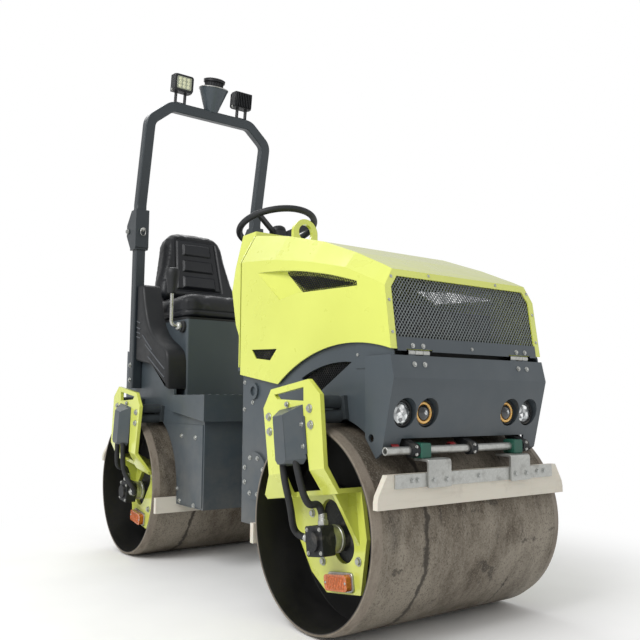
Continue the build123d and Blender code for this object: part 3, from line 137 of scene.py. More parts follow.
def rolledDrumSteel(name, centreX, look):
    # bare mill plate polished by asphalt: brown oxide film, rings of wear, dark wet runs, black inside
    material, add, shader, place = startMaterial(name)
    local = add("ShaderNodeMapping", None,
                {"Vector": place, "Location": (-centreX, 0, -look["radius"])}, "Vector")
    flat = add("ShaderNodeVectorMath", times, {0: local, 1: (1, 0, 1)}, 0)
    radius = add("ShaderNodeVectorMath", {"operation": "LENGTH"}, {0: flat}, "Value")
    signed = add("ShaderNodeSeparateXYZ", None, {"Vector": local}, "Y")
    across = add("ShaderNodeMath", {"operation": "ABSOLUTE"}, {0: signed}, 0)
    layers = (  # stretch of the noise, its detail, where it shows, how strongly, and its colour
        ((2.5, 90, 2.5), 3.0, 0.5, 0.75, 0.4, look["ring"]),
        ((3.2, 8, 3.2), 7.0, 0.56, 0.66, 0.55, look["wet"]),
        ((1.6, 26, 1.6), 6.0, 0.66, 0.7, 0.75, look["wet"]),
        ((120, 120, 120), 2.0, 0.62, 0.72, 0.4, look["pit"]),
        ((11, 8, 11), 5.0, 0.64, 0.67, 0.7, look["wet"]),
        ((14, 14, 14), 7.0, 0.58, 0.7, 0.35, look["rim"][0]),
        ((190, 230, 190), 3.0, 0.52, 0.64, 0.6, look["ring"]),
        ((150, 190, 150), 3.0, 0.53, 0.66, 0.65, look["pit"]),
    )
    film = add("ShaderNodeMapping", None, {"Vector": local, "Scale": (3, 5, 3)}, "Vector")
    film = add("ShaderNodeTexNoise", None,
               {"Vector": film, "Scale": 1.0, "Detail": 8.0, "Roughness": 0.7}, "Fac")
    film = add("ShaderNodeMapRange", None, {"Value": film, 1: 0.4, 2: 0.6}, "Result")
    base = add("ShaderNodeMix", colourMix,
               {0: film, 6: linearColour(look["film"][0]), 7: linearColour(look["film"][1])}, 2)
    for stretch, detail, low, high, most, colour in layers:
        spot = add("ShaderNodeMapping", None, {"Vector": local, "Scale": stretch}, "Vector")
        spot = add("ShaderNodeTexNoise", None,
                   {"Vector": spot, "Scale": 1.0, "Detail": detail, "Roughness": 0.62}, "Fac")
        spot = add("ShaderNodeMapRange", None, {"Value": spot, 1: low, 2: high, 3: 0.0, 4: most}, "Result")
        base = add("ShaderNodeMix", colourMix, {0: spot, 6: base, 7: linearColour(colour)}, 2)
    for offset, width, bare in look["cracks"]:  # wandering dark lines round the shell
        sway = add("ShaderNodeTexNoise", None,
                   {"Vector": local, "Scale": 7.0, "Detail": 8.0, "Roughness": 0.7}, "Fac")
        sway = add("ShaderNodeMapRange", None, {"Value": sway, 3: offset - 0.05, 4: offset + 0.05}, "Result")
        line = add("ShaderNodeMath", {"operation": "SUBTRACT"}, {0: signed, 1: sway}, 0)
        line = add("ShaderNodeMath", {"operation": "ABSOLUTE"}, {0: line}, 0)
        line = add("ShaderNodeMapRange", None,
                   {"Value": line, 1: width * 0.4, 2: width, 3: 0.9, 4: 0.0}, "Result")
        kept = add("ShaderNodeTexNoise", None, {"Vector": local, "Scale": 2.4, "Detail": 5.0}, "Fac")
        kept = add("ShaderNodeMapRange", None, {"Value": kept, 1: bare, 2: bare + 0.05}, "Result")
        line = add("ShaderNodeMath", times, {0: line, 1: kept}, 0)
        base = add("ShaderNodeMix", colourMix, {0: line, 6: base, 7: linearColour(look["wet"])}, 2)
    rust = add("ShaderNodeMapping", None, {"Vector": local, "Scale": (9, 30, 9)}, "Vector")
    rust = add("ShaderNodeTexNoise", None,
               {"Vector": rust, "Scale": 1.0, "Detail": 6.0, "Roughness": 0.7}, "Fac")
    rust = add("ShaderNodeMapRange", None, {"Value": rust, 1: 0.5, 2: 0.66, 3: 0.0, 4: 0.7}, "Result")
    rim = add("ShaderNodeMix", colourMix,
              {0: rust, 6: linearColour(look["rim"][0]), 7: linearColour(look["rim"][1])}, 2)
    edge = look["halfWidth"] - look["shoulder"]
    shoulder = add("ShaderNodeMapRange", None,
                   {"Value": across, 1: edge, 2: edge + 0.006, 3: 0.0, 4: 0.7}, "Result")
    base = add("ShaderNodeMix", colourMix, {0: shoulder, 6: base, 7: rim}, 2)
    shell = look["radius"] - look["wall"]
    inside = add("ShaderNodeMapRange", None,
                 {"Value": radius, 1: shell, 2: shell + 0.004, 3: 1.0, 4: 0.0}, "Result")
    soot = add("ShaderNodeMix", colourMix,
               {0: film, 6: linearColour(look["inside"][0]), 7: linearColour(look["inside"][1])}, 2)
    base = add("ShaderNodeMix", colourMix, {0: inside, 6: base, 7: soot}, 2)
    metal = add("ShaderNodeMapRange", None, {"Value": inside, 3: 0.35, 4: 0.05}, "Result")
    rough = add("ShaderNodeMapRange", None, {"Value": film, 3: 0.5, 4: 0.66}, "Result")
    feed(shader, {"Base Color": base, "Metallic": metal, "Roughness": rough})
    grit = add("ShaderNodeMapping", None, {"Vector": local, "Scale": (60, 160, 60)}, "Vector")
    grit = add("ShaderNodeTexNoise", None, {"Vector": grit, "Scale": 1.0, "Detail": 5.0}, "Fac")
    relief(add, shader, grit, 0.35 * mm, 0.6, 3 * mm)
    return material


def grainedPlastic(name, colour, rubbed, grain, roughness, dustMost=0.12):
    # moulded polymer or vinyl: dull, with a leather grain and pale rubbed dust
    material, add, shader, place = startMaterial(name, {"IOR": 1.46})
    shade = add("ShaderNodeTexNoise", None, {"Vector": place, "Scale": 6.0, "Detail": 4.0}, "Fac")
    shade = add("ShaderNodeMapRange", None, {"Value": shade, 1: 0.35, 2: 0.65, 3: 0.0, 4: 0.5}, "Result")
    base = add("ShaderNodeMix", colourMix, {0: shade, 6: linearColour(colour), 7: linearColour(rubbed)}, 2)
    dust = worn(add, place, 0.1, 2.2, dustMost)
    base = add("ShaderNodeMix", colourMix, {0: dust, 6: base, 7: linearColour("77756F")}, 2)
    smear = add("ShaderNodeTexNoise", None, {"Vector": place, "Scale": 20.0, "Detail": 4.0}, "Fac")
    rough = {"Value": smear, 1: 0.3, 2: 0.7, 3: roughness - 0.07, 4: roughness + 0.07}
    feed(shader, {"Base Color": base, "Roughness": add("ShaderNodeMapRange", None, rough, "Result")})
    cells = add("ShaderNodeTexVoronoi", None, {"Vector": place, "Scale": 1 / (grain * mm)}, "Distance")
    relief(add, shader, cells, 0.15 * mm, 0.5, 1.5 * mm)
    return material


def platedSteel(name, colour, spangle, roughness, metallic=0.92):
    # zinc or phosphate on steel: grey crystals a few millimetres wide, dull bloom, darker handling marks
    material, add, shader, place = startMaterial(name, {"Metallic": metallic})
    crystal = add("ShaderNodeTexVoronoi", None, {"Vector": place, "Scale": 1 / (spangle * mm)}, "Color")
    tone = add("ShaderNodeSeparateColor", None, {"Color": crystal}, "Red")
    part = add("ShaderNodeMath", times, {0: tone, 1: 0.16}, 0)
    darker = [channel * 0.6 for channel in linearColour(colour)[:3]] + [1.0]
    base = add("ShaderNodeMix", colourMix, {0: part, 6: linearColour(colour), 7: darker}, 2)
    marks = add("ShaderNodeTexNoise", None, {"Vector": place, "Scale": 25.0, "Detail": 6.0}, "Fac")
    marks = add("ShaderNodeMapRange", None, {"Value": marks, 1: 0.55, 2: 0.7, 3: 0.0, 4: 0.4}, "Result")
    base = add("ShaderNodeMix", colourMix, {0: marks, 6: base, 7: linearColour("6E6A63")}, 2)
    rough = add("ShaderNodeMapRange", None,
                {"Value": tone, 3: roughness - 0.08, 4: roughness + 0.1}, "Result")
    feed(shader, {"Base Color": base, "Roughness": rough})
    grit = add("ShaderNodeTexNoise", None, {"Vector": place, "Scale": 300.0, "Detail": 4.0}, "Fac")
    relief(add, shader, grit, 0.08 * mm, 0.4, 0.8 * mm)
    return material


def sawnPolyethylene(name):
    # sawn cream sheet: waxy, scuffed along its length, grey where it meets the drum
    material, add, shader, place = startMaterial(
        name, {"IOR": 1.5, "Subsurface Weight": 0.05, "Subsurface Scale": 0.004})
    scuff = add("ShaderNodeMapping", None, {"Vector": place, "Scale": (40, 6, 90)}, "Vector")
    scuff = add("ShaderNodeTexNoise", None,
                {"Vector": scuff, "Scale": 1.0, "Detail": 6.0, "Roughness": 0.65}, "Fac")
    scuff = add("ShaderNodeMapRange", None, {"Value": scuff, 1: 0.5, 2: 0.72, 3: 0.0, 4: 0.25}, "Result")
    base = add("ShaderNodeMix", colourMix,
               {0: scuff, 6: linearColour("D3CDBF"), 7: linearColour("B8B09F")}, 2)
    dirt = add("ShaderNodeTexNoise", None,
               {"Vector": place, "Scale": 9.0, "Detail": 6.0, "Roughness": 0.7}, "Fac")
    dirt = add("ShaderNodeMapRange", None, {"Value": dirt, 1: 0.52, 2: 0.75, 3: 0.0, 4: 0.5}, "Result")
    base = add("ShaderNodeMix", colourMix, {0: dirt, 6: base, 7: linearColour("9A9183")}, 2)
    rough = add("ShaderNodeMapRange", None, {"Value": scuff, 2: 0.25, 3: 0.38, 4: 0.5}, "Result")
    feed(shader, {"Base Color": base, "Roughness": rough})
    saw = add("ShaderNodeMapping", None, {"Vector": place, "Scale": (60, 30, 80)}, "Vector")
    saw = add("ShaderNodeTexNoise", None, {"Vector": saw, "Scale": 1.0, "Detail": 3.0}, "Fac")
    relief(add, shader, saw, 0.1 * mm, 0.25, 1.5 * mm)
    return material


def blackRubber(name, colour="1A1B1D", bloomColour="36373A"):
    # carbon-filled rubber: deep grey, matt, bloom on the high spots
    material, add, shader, place = startMaterial(name, {"IOR": 1.5, "Roughness": 0.66})
    bloom = add("ShaderNodeTexNoise", None, {"Vector": place, "Scale": 30.0, "Detail": 5.0}, "Fac")
    bloom = add("ShaderNodeMapRange", None, {"Value": bloom, 1: 0.45, 2: 0.75, 3: 0.0, 4: 0.4}, "Result")
    base = add("ShaderNodeMix", colourMix,
               {0: bloom, 6: linearColour(colour), 7: linearColour(bloomColour)}, 2)
    feed(shader, {"Base Color": base})
    grit = add("ShaderNodeTexNoise", None, {"Vector": place, "Scale": 420.0, "Detail": 2.0}, "Fac")
    relief(add, shader, grit, 0.12 * mm, 0.5, 0.8 * mm)
    return material


def pressedLens(name, colour, cell, metallic=0.0, roughness=0.16, paintedReflectionShare=0.0):
    # pressed polycarbonate over a reflector: clear and bright, broken into facets a few millimetres wide,
    # each with a painted highlight in its middle; random facets can carry a painted dark reflection
    material, add, shader, place = startMaterial(name, {
        "IOR": 1.58, "Coat Weight": 0.6, "Coat Roughness": 0.04, "Metallic": metallic,
        "Roughness": roughness})
    facets = add("ShaderNodeTexVoronoi", None, {"Vector": place, "Scale": 1 / (cell * mm)})
    facetHighlightColour = [min(1.0, channel * 1.6 + 0.02) for channel in linearColour(colour)]
    # painted highlight: each facet lighter in its middle and darker towards its edges
    glow = add("ShaderNodeMapRange", None, {"Value": facets.outputs["Distance"], 1: 0.1, 2: 0.6}, "Result")
    base = add("ShaderNodeMix", colourMix, {0: glow, 6: facetHighlightColour, 7: linearColour(colour)}, 2)
    # painted reflection: random facets darkened towards 33363A
    reflectionCells = add("ShaderNodeSeparateColor", None, {"Color": facets.outputs["Color"]}, "Red")
    reflectionCells = add("ShaderNodeMapRange", None,
                   {"Value": reflectionCells, 1: 0.3, 2: 0.9, 3: 0.0, 4: paintedReflectionShare}, "Result")
    base = add("ShaderNodeMix", colourMix, {0: reflectionCells, 6: base, 7: linearColour("33363A")}, 2)
    feed(shader, {"Base Color": base})
    relief(add, shader, facets.outputs["Distance"], 1.2 * mm, 0.6)
    return material


finish = {
    "lime": paintedSheet("limeEnamelOnSheet", limeLook),
    "grey": paintedSheet("greyEnamelOnPlate", greyLook),
    "rack": paintedSheet("greyEnamelOnTube", rackLook),
    "frontDrum": rolledDrumSteel("rolledMillPlateFront", 0.735, drumLook),
    "rearDrum": rolledDrumSteel("rolledMillPlateRear", -0.735, drumLook),
    "plastic": grainedPlastic("mouldedPolypropylene", "121417", "1B1E21", 1.6, 0.5, 0.05),
    # the ribs are the black cover moulding; their lighter grey is a painted highlight along each rib
    "rubbedPlastic": grainedPlastic("polypropyleneRibsPaintedHighlight", "4C5055", "5E6267", 1.6, 0.45, 0.03),
    "wheelGrip": grainedPlastic("foamedPolyurethane", "1A1C1F", "25282C", 1.1, 0.55, 0.05),
    "vinyl": grainedPlastic("grainedSeatVinyl", "14161A", "1C1F24", 2.2, 0.42, 0.04),
    "bush": grainedPlastic("greenNylon", "1F5546", "2A6A58", 1.2, 0.42, 0.05),
    "dialFace": grainedPlastic("printedDialCard", "E6E5DF", "DAD8D0", 0.8, 0.5, 0.02),
    "zinc": platedSteel("zincPlatedSteel", "BDBEBA", 5.0, 0.46),
    "bright": platedSteel("turnedBrightSteel", "BDBDB9", 3.0, 0.3),
    "boltSteel": platedSteel("dullZincOnBolts", "B6B8B5", 3.0, 0.34),
    "darkSteel": platedSteel("phosphatedSteel", "1E2022", 4.0, 0.6, 0.2),
    "meshWire": platedSteel("blackPaintedWire", "202224", 4.0, 0.5, 0.2),
    # the grille's wire is black like the vents' wire; this light grey is a painted highlight
    "grilleWire": platedSteel("blackWirePaintedHighlight", "858B8C", 4.0, 0.45, 0.3),
    "redSpring": platedSteel("redEnamelledSpring", "8A1B20", 4.0, 0.4, 0.1),
    "blade": sawnPolyethylene("sawnPolyethylene"),
    "rubber": blackRubber("carbonFilledRubber"),
    "buffer": blackRubber("paintedBufferRubber", "2A3033", "3D4548"),
    "amber": pressedLens("amberPolycarbonate", "B6580E", 7.0),
    "paleAmber": pressedLens("amberRingDiffuser", "F0B25A", 5.0),
    # the 0.8 darkens random facets of the reflector, a painted reflection
    "reflector": pressedLens("facetedReflectorGlass", "D2D6D6", 12.0, 0.8, 0.1, 0.8),
    "diode": pressedLens("yellowPhosphorDiode", "C6C8A6", 4.0),
    "lampPanel": pressedLens("frostedLampPanel", "868B76", 6.0),
    "darkGlass": pressedLens("smokedLensGlass", "17191C", 30.0, 0.0, 0.05),
}
print("materials made", len(finish))

nodeFinish = {
    "lime": ("front_forks", "rear_forks", "hood_shell", "dash_cowl", "lifting_eye"),
    "grey": ("front_chassis", "rear_chassis", "bumper", "floor_plate", "seat_base", "beacon_pedestal",
             "front_hose_covers", "rear_hose_covers", "rear_knuckle", "front_knuckle", "frame_covers"),
    "rack": ("rops_posts", "rops_hoop"),
    "plastic": ("side_covers", "seat_pan", "steering_column", "work_lamps", "beacon"),
    "wheelGrip": ("steering_wheel",),
    "frontDrum": ("front_drum",),
    "rearDrum": ("rear_drum",),
    "zinc": ("front_scraper_mounts", "rear_scraper_mounts", "travel_lever"),
    "bright": ("cylinder_rod",),
    "darkSteel": ("front_motors", "rear_motors", "front_stub_axles", "rear_stub_axles", "engine_block",
                  "cylinder_barrel", "front_scraper_clamps", "rear_scraper_clamps"),
    "blade": ("front_scraper_blades", "rear_scraper_blades"),
    "rubber": ("front_hoses", "rear_hoses"),
    "buffer": ("front_buffers", "rear_buffers"),
    "amber": ("front_marker_lamps", "rear_marker_lamps"),
    "reflector": ("head_lamps",),
    "darkGlass": ("ring_lamps",),
    "vinyl": ("seat_cushion", "seat_back"),
    "meshWire": ("hood_grille", "hood_vents", "arch_vents"),
}
for look, members in nodeFinish.items():
    for member in members:
        mesh = nodes[member].data
        mesh.materials.clear()
        mesh.materials.append(finish[look])
print("nodes dressed")

photoCamera = {
    "position": (2.6327, -1.7231, 0.6939), "yaw": 144.2516, "pitch": 6.3378, "roll": 0.2330,
    "focalPixels": 744.76, "imageWidth": 640,
}


def placeCamera(spec):
    yaw, pitch, roll = (math.radians(spec[key]) for key in ("yaw", "pitch", "roll"))
    ahead = Vector((math.cos(yaw) * math.cos(pitch), math.sin(yaw) * math.cos(pitch), math.sin(pitch)))
    right = Vector((math.sin(yaw), -math.cos(yaw), 0))
    above = right.cross(ahead)
    rightRolled = math.cos(roll) * right + math.sin(roll) * above
    aboveRolled = math.cos(roll) * above - math.sin(roll) * right
    data = bpy.data.cameras.new("photoCamera")
    data.sensor_width = 36.0
    data.lens = data.sensor_width * spec["focalPixels"] / spec["imageWidth"]
    camera = bpy.data.objects.new("photoCamera", data)
    turn = Matrix((rightRolled, aboveRolled, -ahead)).transposed()
    camera.matrix_world = Matrix.Translation(spec["position"]) @ turn.to_4x4()
    bpy.context.scene.collection.objects.link(camera)
    bpy.context.scene.camera = camera


# each lamp has its name, place, size and watts
studio = {"floorSize": 60.0, "floorColour": "F6F6F5", "floorShade": "E9E9E8", "fadeFrom": 0.95, "fadeTo": 2.1,
          "worldStrength": 0.62, "aim": (0.2, 0, 0.9),
          "lamps": (("keyPanel", (1.3, -4.6, 4.5), 3.2, 235.0), ("fillPanel", (3.6, 3.2, 2.6), 3.0, 14.0),
                    ("backPanel", (-3.4, 0.6, 4.4), 3.0, 75.0))}


def buildStudio(spec):
    scene = bpy.context.scene
    scene.view_settings.view_transform = "Standard"
    floorMesh = bpy.data.meshes.new("studioFloor")
    half = spec["floorSize"] / 2
    corners = [(-half, -half, 0), (half, -half, 0), (half, half, 0), (-half, half, 0)]
    floorMesh.from_pydata(corners, [], [(0, 1, 2, 3)])
    floor = bpy.data.objects.new("studioFloor", floorMesh)
    scene.collection.objects.link(floor)
    material, add, shader, place = startMaterial("paleStudioFloor", {"Roughness": 0.9})
    tree = shader.id_data
    paper = add("ShaderNodeTexNoise", None, {"Vector": place, "Scale": 3.0, "Detail": 4.0}, "Fac")
    paper = add("ShaderNodeMapRange", None, {"Value": paper, 1: 0.3, 2: 0.7, 3: 0.0, 4: 0.3}, "Result")
    tint = {0: paper, 6: linearColour(spec["floorColour"]), 7: linearColour(spec["floorShade"])}
    feed(shader, {"Base Color": add("ShaderNodeMix", colourMix, tint, 2)})
    # the paper runs out to white away from the machine, and keeps the shadow under it
    ray = add("ShaderNodeLightPath")
    seen = add("ShaderNodeMath", larger,
               {0: ray.outputs["Is Camera Ray"], 1: ray.outputs["Is Glossy Ray"]}, 0)
    seen = add("ShaderNodeMath", larger, {0: seen, 1: ray.outputs["Is Transmission Ray"]}, 0)
    away = add("ShaderNodeVectorMath", {"operation": "LENGTH"}, {0: place}, "Value")
    away = add("ShaderNodeMapRange", {"interpolation_type": "SMOOTHSTEP"},
               {"Value": away, 1: spec["fadeFrom"], 2: spec["fadeTo"]}, "Result")
    share = add("ShaderNodeMath", times, {0: seen, 1: away}, 0)
    white = add("ShaderNodeEmission", None, {"Strength": 1.0}, "Emission")
    mixed = add("ShaderNodeMixShader", None, {0: share, 1: shader.outputs["BSDF"], 2: white}, 0)
    ending = next(node for node in tree.nodes if node.type == "OUTPUT_MATERIAL")
    tree.links.new(mixed, ending.inputs["Surface"])
    floorMesh.materials.append(material)
    world = bpy.data.worlds.new("softStudio")
    scene.world = world
    world.use_nodes = True
    tree = world.node_tree
    tree.nodes.clear()
    add = partial(addNode, tree)
    ray = add("ShaderNodeLightPath")
    seen = add("ShaderNodeMath", larger,
               {0: ray.outputs["Is Camera Ray"], 1: ray.outputs["Is Transmission Ray"]}, 0)
    strength = add("ShaderNodeMapRange", None, {"Value": seen, 3: spec["worldStrength"], 4: 1.0}, "Result")
    sky = add("ShaderNodeBackground", None,
              {"Color": (1.0, 1.0, 1.0, 1.0), "Strength": strength}, "Background")
    add("ShaderNodeOutputWorld", None, {"Surface": sky})
    for name, where, size, watts in spec["lamps"]:
        data = bpy.data.lights.new(name, "AREA")
        data.shape, data.size, data.energy = "SQUARE", size, watts
        lamp = bpy.data.objects.new(name, data)
        lamp.location = where
        lamp.rotation_mode = "QUATERNION"
        lamp.rotation_quaternion = (Vector(spec["aim"]) - Vector(where)).to_track_quat("-Z", "Y")
        scene.collection.objects.link(lamp)


placeCamera(photoCamera)
buildStudio(studio)
print("camera and studio placed")

# where the solids stand, in millimetres; end is +1 in front and -1 behind, side is -1 right and +1 left
machine = {"axleX": 735.0, "axleZ": 315.0, "forkLean": 8.0, "forkOuter": 432.0, "forkInner": 307.0,
           "frontPlate": 318.0, "rearPlate": 306.0, "hoodFace": (1043.0, 842.0), "faceRake": 7.9,
           "rod": (1030.0, 559.0), "bladeFace": 1063.4}
bodyAt = {1: "front_frame", -1: "rear_frame"}
sides = (-1, 1)


def forkPoint(end, side, x, z, depth):
    lean = math.radians(machine["forkLean"])
    run = x * math.cos(lean) - z * math.sin(lean)
    height = machine["axleZ"] + x * math.sin(lean) + z * math.cos(lean)
    return end * (machine["axleX"] + run), side * depth, height


def forkAxes(end, side):
    lean = math.radians(machine["forkLean"])
    across = Vector((end * math.cos(lean), 0, math.sin(lean))) * (-end * side)
    return across, Vector((-end * math.sin(lean), 0, math.cos(lean)))


rake = math.radians(machine["faceRake"])
faceOut = (math.cos(rake), 0, math.sin(rake))
faceUp = (-math.sin(rake), 0, math.cos(rake))


def facePoint(y, up, out):
    x, z = machine["hoodFace"]
    return x + up * faceUp[0] + out * faceOut[0], y, z + up * faceUp[2] + out * faceOut[2]


def skin(rows, count, ring=False):
    # quads between rings of points, with a face at each end unless the last ring joins the first
    faces = []
    for row in range(rows if ring else rows - 1):
        a, b = row * count, (row + 1) % rows * count
        faces += [(a + i, a + (i + 1) % count, b + (i + 1) % count, b + i) for i in range(count)]
    if not ring:
        faces += [tuple(range(count)), tuple(range((rows - 1) * count, rows * count))]
    return faces


def turned(profile, origin, axis, count=24, ring=False):
    turn = Vector(axis).to_track_quat("Z", "Y")
    verts = []
    for radius, height in profile:
        for i in range(count):
            angle = 2 * math.pi * i / count
            spoke = Vector((radius * math.cos(angle), radius * math.sin(angle), height))
            verts.append(tuple(Vector(origin) + turn @ spoke))
    return verts, skin(len(profile), count, ring)


def stacked(rings, origin, across, up):
    # flat rings of points, each at its own height above the plane of across and up
    across, up = Vector(across).normalized(), Vector(up).normalized()
    out = across.cross(up)
    return [tuple(Vector(origin) + across * x + up * z + out * height)
            for height, ring in rings for x, z in ring]


def slab(outline, origin, across, up, thick, soft=1.5):
    middle = Vector([sum(point[k] for point in outline) / len(outline) for k in (0, 1)])
    rings = []
    for height, draw in ((0, 0), (thick - soft, 0), (thick, soft)):
        ring = [Vector(point) + (middle - Vector(point)).normalized() * draw for point in outline]
        rings.append((height, ring))
    return stacked(rings, origin, across, up), skin(len(rings), len(outline))


def mouldedSlab(outline, origin, across, up, thick, soft, steps=4):
    # a slab with a quarter round along its outer edge
    base = [Vector(point) for point in outline]
    count, inward = len(base), []
    turn = math.copysign(1, sum(base[i - 1].cross(base[i]) for i in range(count)))
    for i in range(count):
        before, after = base[i] - base[i - 1], base[(i + 1) % count] - base[i]
        bend = before.normalized() + after.normalized()
        inward.append(Vector((-bend[1], bend[0])) * turn * 2 / bend.length_squared)
    rings = [(0.0, base)]
    for angle in np.linspace(0, math.pi / 2, steps + 1):
        height, draw = thick - soft * (1 - math.sin(angle)), soft * (1 - math.cos(angle))
        rings.append((height, [point + pull * draw for point, pull in zip(base, inward)]))
    return stacked(rings, origin, across, up), skin(len(rings), count)


def roundedBox(half, rise, corner, steps=4):
    outline = []
    for turn, (x, z) in enumerate(((1, 1), (-1, 1), (-1, -1), (1, -1))):
        for i in range(steps + 1):
            angle = math.pi / 2 * (turn + i / steps)
            outline.append((x * (half - corner) + corner * math.cos(angle),
                            z * (rise - corner) + corner * math.sin(angle)))
    return outline


def settle(name, mesh, body):
    obj = bpy.data.objects.new(name, mesh)
    bpy.context.scene.collection.objects.link(obj)
    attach(obj, body)
    return obj


def makePiece(name, parts, look, body, crease=35):
    verts, faces = [], []
    for points, polygons in parts:
        start = len(verts)
        verts += [Vector(point) * mm for point in points]
        faces += [tuple(i + start for i in polygon) for polygon in polygons]
    mesh = bpy.data.meshes.new(name)
    mesh.from_pydata(verts, [], faces)
    work = bmesh.new()
    work.from_mesh(mesh)
    bmesh.ops.recalc_face_normals(work, faces=work.faces[:])
    work.to_mesh(mesh)
    work.free()
    mesh.shade_smooth()
    mesh.set_sharp_from_angle(angle=math.radians(crease))
    mesh.materials.append(finish[look])
    return settle(name, mesh, body)


def newTree(name, sockets):
    tree = bpy.data.node_groups.new(name, "GeometryNodeTree")
    tree.interface.new_socket("Geometry", in_out="INPUT", socket_type="NodeSocketGeometry")
    for label, kind in sockets.items():
        tree.interface.new_socket(label, in_out="INPUT", socket_type="NodeSocket" + kind)
    tree.interface.new_socket("Geometry", in_out="OUTPUT", socket_type="NodeSocketGeometry")
    add = partial(addNode, tree)
    return tree, add, add("NodeGroupInput").outputs


def closeTree(add, given, shape):
    solid = add("GeometryNodeRealizeInstances", None, {"Geometry": shape}, "Geometry")
    dressed = add("GeometryNodeSetMaterial", None,
                  {"Geometry": solid, "Material": given["Finish"]}, "Geometry")
    add("NodeGroupOutput", None, {"Geometry": dressed})


def standOn(add, given, shape, scale):
    # one copy of the shape on every point, turned to the point's own axis
    axis = add("GeometryNodeInputNamedAttribute", {"data_type": "FLOAT_VECTOR"},
               {"Name": "axis"}, "Attribute")
    turn = add("FunctionNodeAlignRotationToVector", {"axis": "Z"}, {"Vector": axis}, "Rotation")
    stood = {"Points": given["Geometry"], "Instance": shape, "Rotation": turn, "Scale": scale}
    closeTree(add, given, add("GeometryNodeInstanceOnPoints", None, stood, "Instances"))


def hexFasteners():
    # a hexagon head on a round washer; the corner's radius is worked out from the width across flats
    tree, add, given = newTree("hexFasteners", {
        "Head Width": "Float", "Head Height": "Float", "Washer Width": "Float", "Washer Thickness": "Float",
        "Finish": "Material"})
    corner = add("ShaderNodeMath", times, {0: given["Head Width"], 1: 0.577}, 0)
    top = add("ShaderNodeMath", times, {0: corner, 1: 0.88}, 0)
    rim = add("ShaderNodeMath", times, {0: given["Washer Width"], 1: 0.5}, 0)
    sizes = {"Vertices": 6, "Radius Top": top, "Radius Bottom": corner, "Depth": given["Head Height"]}
    head = add("GeometryNodeMeshCone", {"fill_type": "NGON"}, sizes, "Mesh")
    sizes = {"Vertices": 16, "Radius": rim, "Depth": given["Washer Thickness"]}
    washer = add("GeometryNodeMeshCylinder", {"fill_type": "NGON"}, sizes, "Mesh")
    both = add("GeometryNodeJoinGeometry", None, {"Geometry": [head, washer]}, "Geometry")
    grow = add("GeometryNodeInputNamedAttribute", {"data_type": "FLOAT"}, {"Name": "grow"}, "Attribute")
    standOn(add, given, both, grow)
    return tree


def tubeAlong():
    # a round bar along every chain of edges
    tree, add, given = newTree("tubeAlong", {"Radius": "Float", "Sides": "Int", "Finish": "Material"})
    path = add("GeometryNodeMeshToCurve", None, {"Mesh": given["Geometry"]}, "Curve")
    ring = add("GeometryNodeCurvePrimitiveCircle", None,
               {"Resolution": given["Sides"], "Radius": given["Radius"]}, "Curve")
    skin = add("GeometryNodeCurveToMesh", None,
               {"Curve": path, "Profile Curve": ring, "Fill Caps": True}, "Mesh")
    closeTree(add, given, add("GeometryNodeSetShadeSmooth", None, {"Geometry": skin}, "Geometry"))
    return tree


def domeStuds():
    # a low dome, flattened along its axis
    tree, add, given = newTree("domeStuds", {"Radius": "Float", "Height": "Float", "Finish": "Material"})
    ball = add("GeometryNodeMeshUVSphere", None,
               {"Segments": 10, "Rings": 6, "Radius": given["Radius"]}, "Mesh")
    ball = add("GeometryNodeSetShadeSmooth", None, {"Geometry": ball}, "Geometry")
    share = add("ShaderNodeMath", {"operation": "DIVIDE"}, {0: given["Height"], 1: given["Radius"]}, 0)
    flat = add("ShaderNodeCombineXYZ", None, {0: 1.0, 1: 1.0, 2: share}, 0)
    standOn(add, given, ball, flat)
    return tree


def bakeModifiers(obj):
    made = bpy.data.meshes.new_from_object(obj.evaluated_get(bpy.context.evaluated_depsgraph_get()))
    obj.modifiers.clear()
    obj.data = made


def growOn(name, tree, sizes, points, edges, look, body, slotName, axes=None, grow=None):
    source = bpy.data.meshes.new(name + "Source")
    source.from_pydata([Vector(point) * mm for point in points], edges, [])
    if axes:
        data = source.attributes.new("axis", "FLOAT_VECTOR", "POINT").data
        data.foreach_set("vector", np.array(axes, dtype=float).ravel())
        data = source.attributes.new("grow", "FLOAT", "POINT").data
        data.foreach_set("value", np.array(grow or [1.0] * len(points), dtype=float))
    obj = bpy.data.objects.new(name, source)
    bpy.context.scene.collection.objects.link(obj)
    modifier = obj.modifiers.new("grown", "NODES")
    modifier.node_group = tree
    wanted = {label: size * mm if isinstance(size, float) else size for label, size in sizes.items()}
    wanted["Finish"] = finish[look]
    for item in tree.interface.items_tree:
        if item.in_out == "INPUT" and item.name in wanted:
            modifier[item.identifier] = wanted[item.name]
    bakeModifiers(obj)
    obj.data.name = name
    bpy.data.meshes.remove(source)
    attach(obj, body)
    return obj


def chains(paths):
    points, edges = [], []
    for path in paths:
        start = len(points)
        points += path
        edges += [(start + i, start + i + 1) for i in range(len(path) - 1)]
    return points, edges


fastenerTree, tubeTree, studTree = hexFasteners(), tubeAlong(), domeStuds()
print("node trees built")


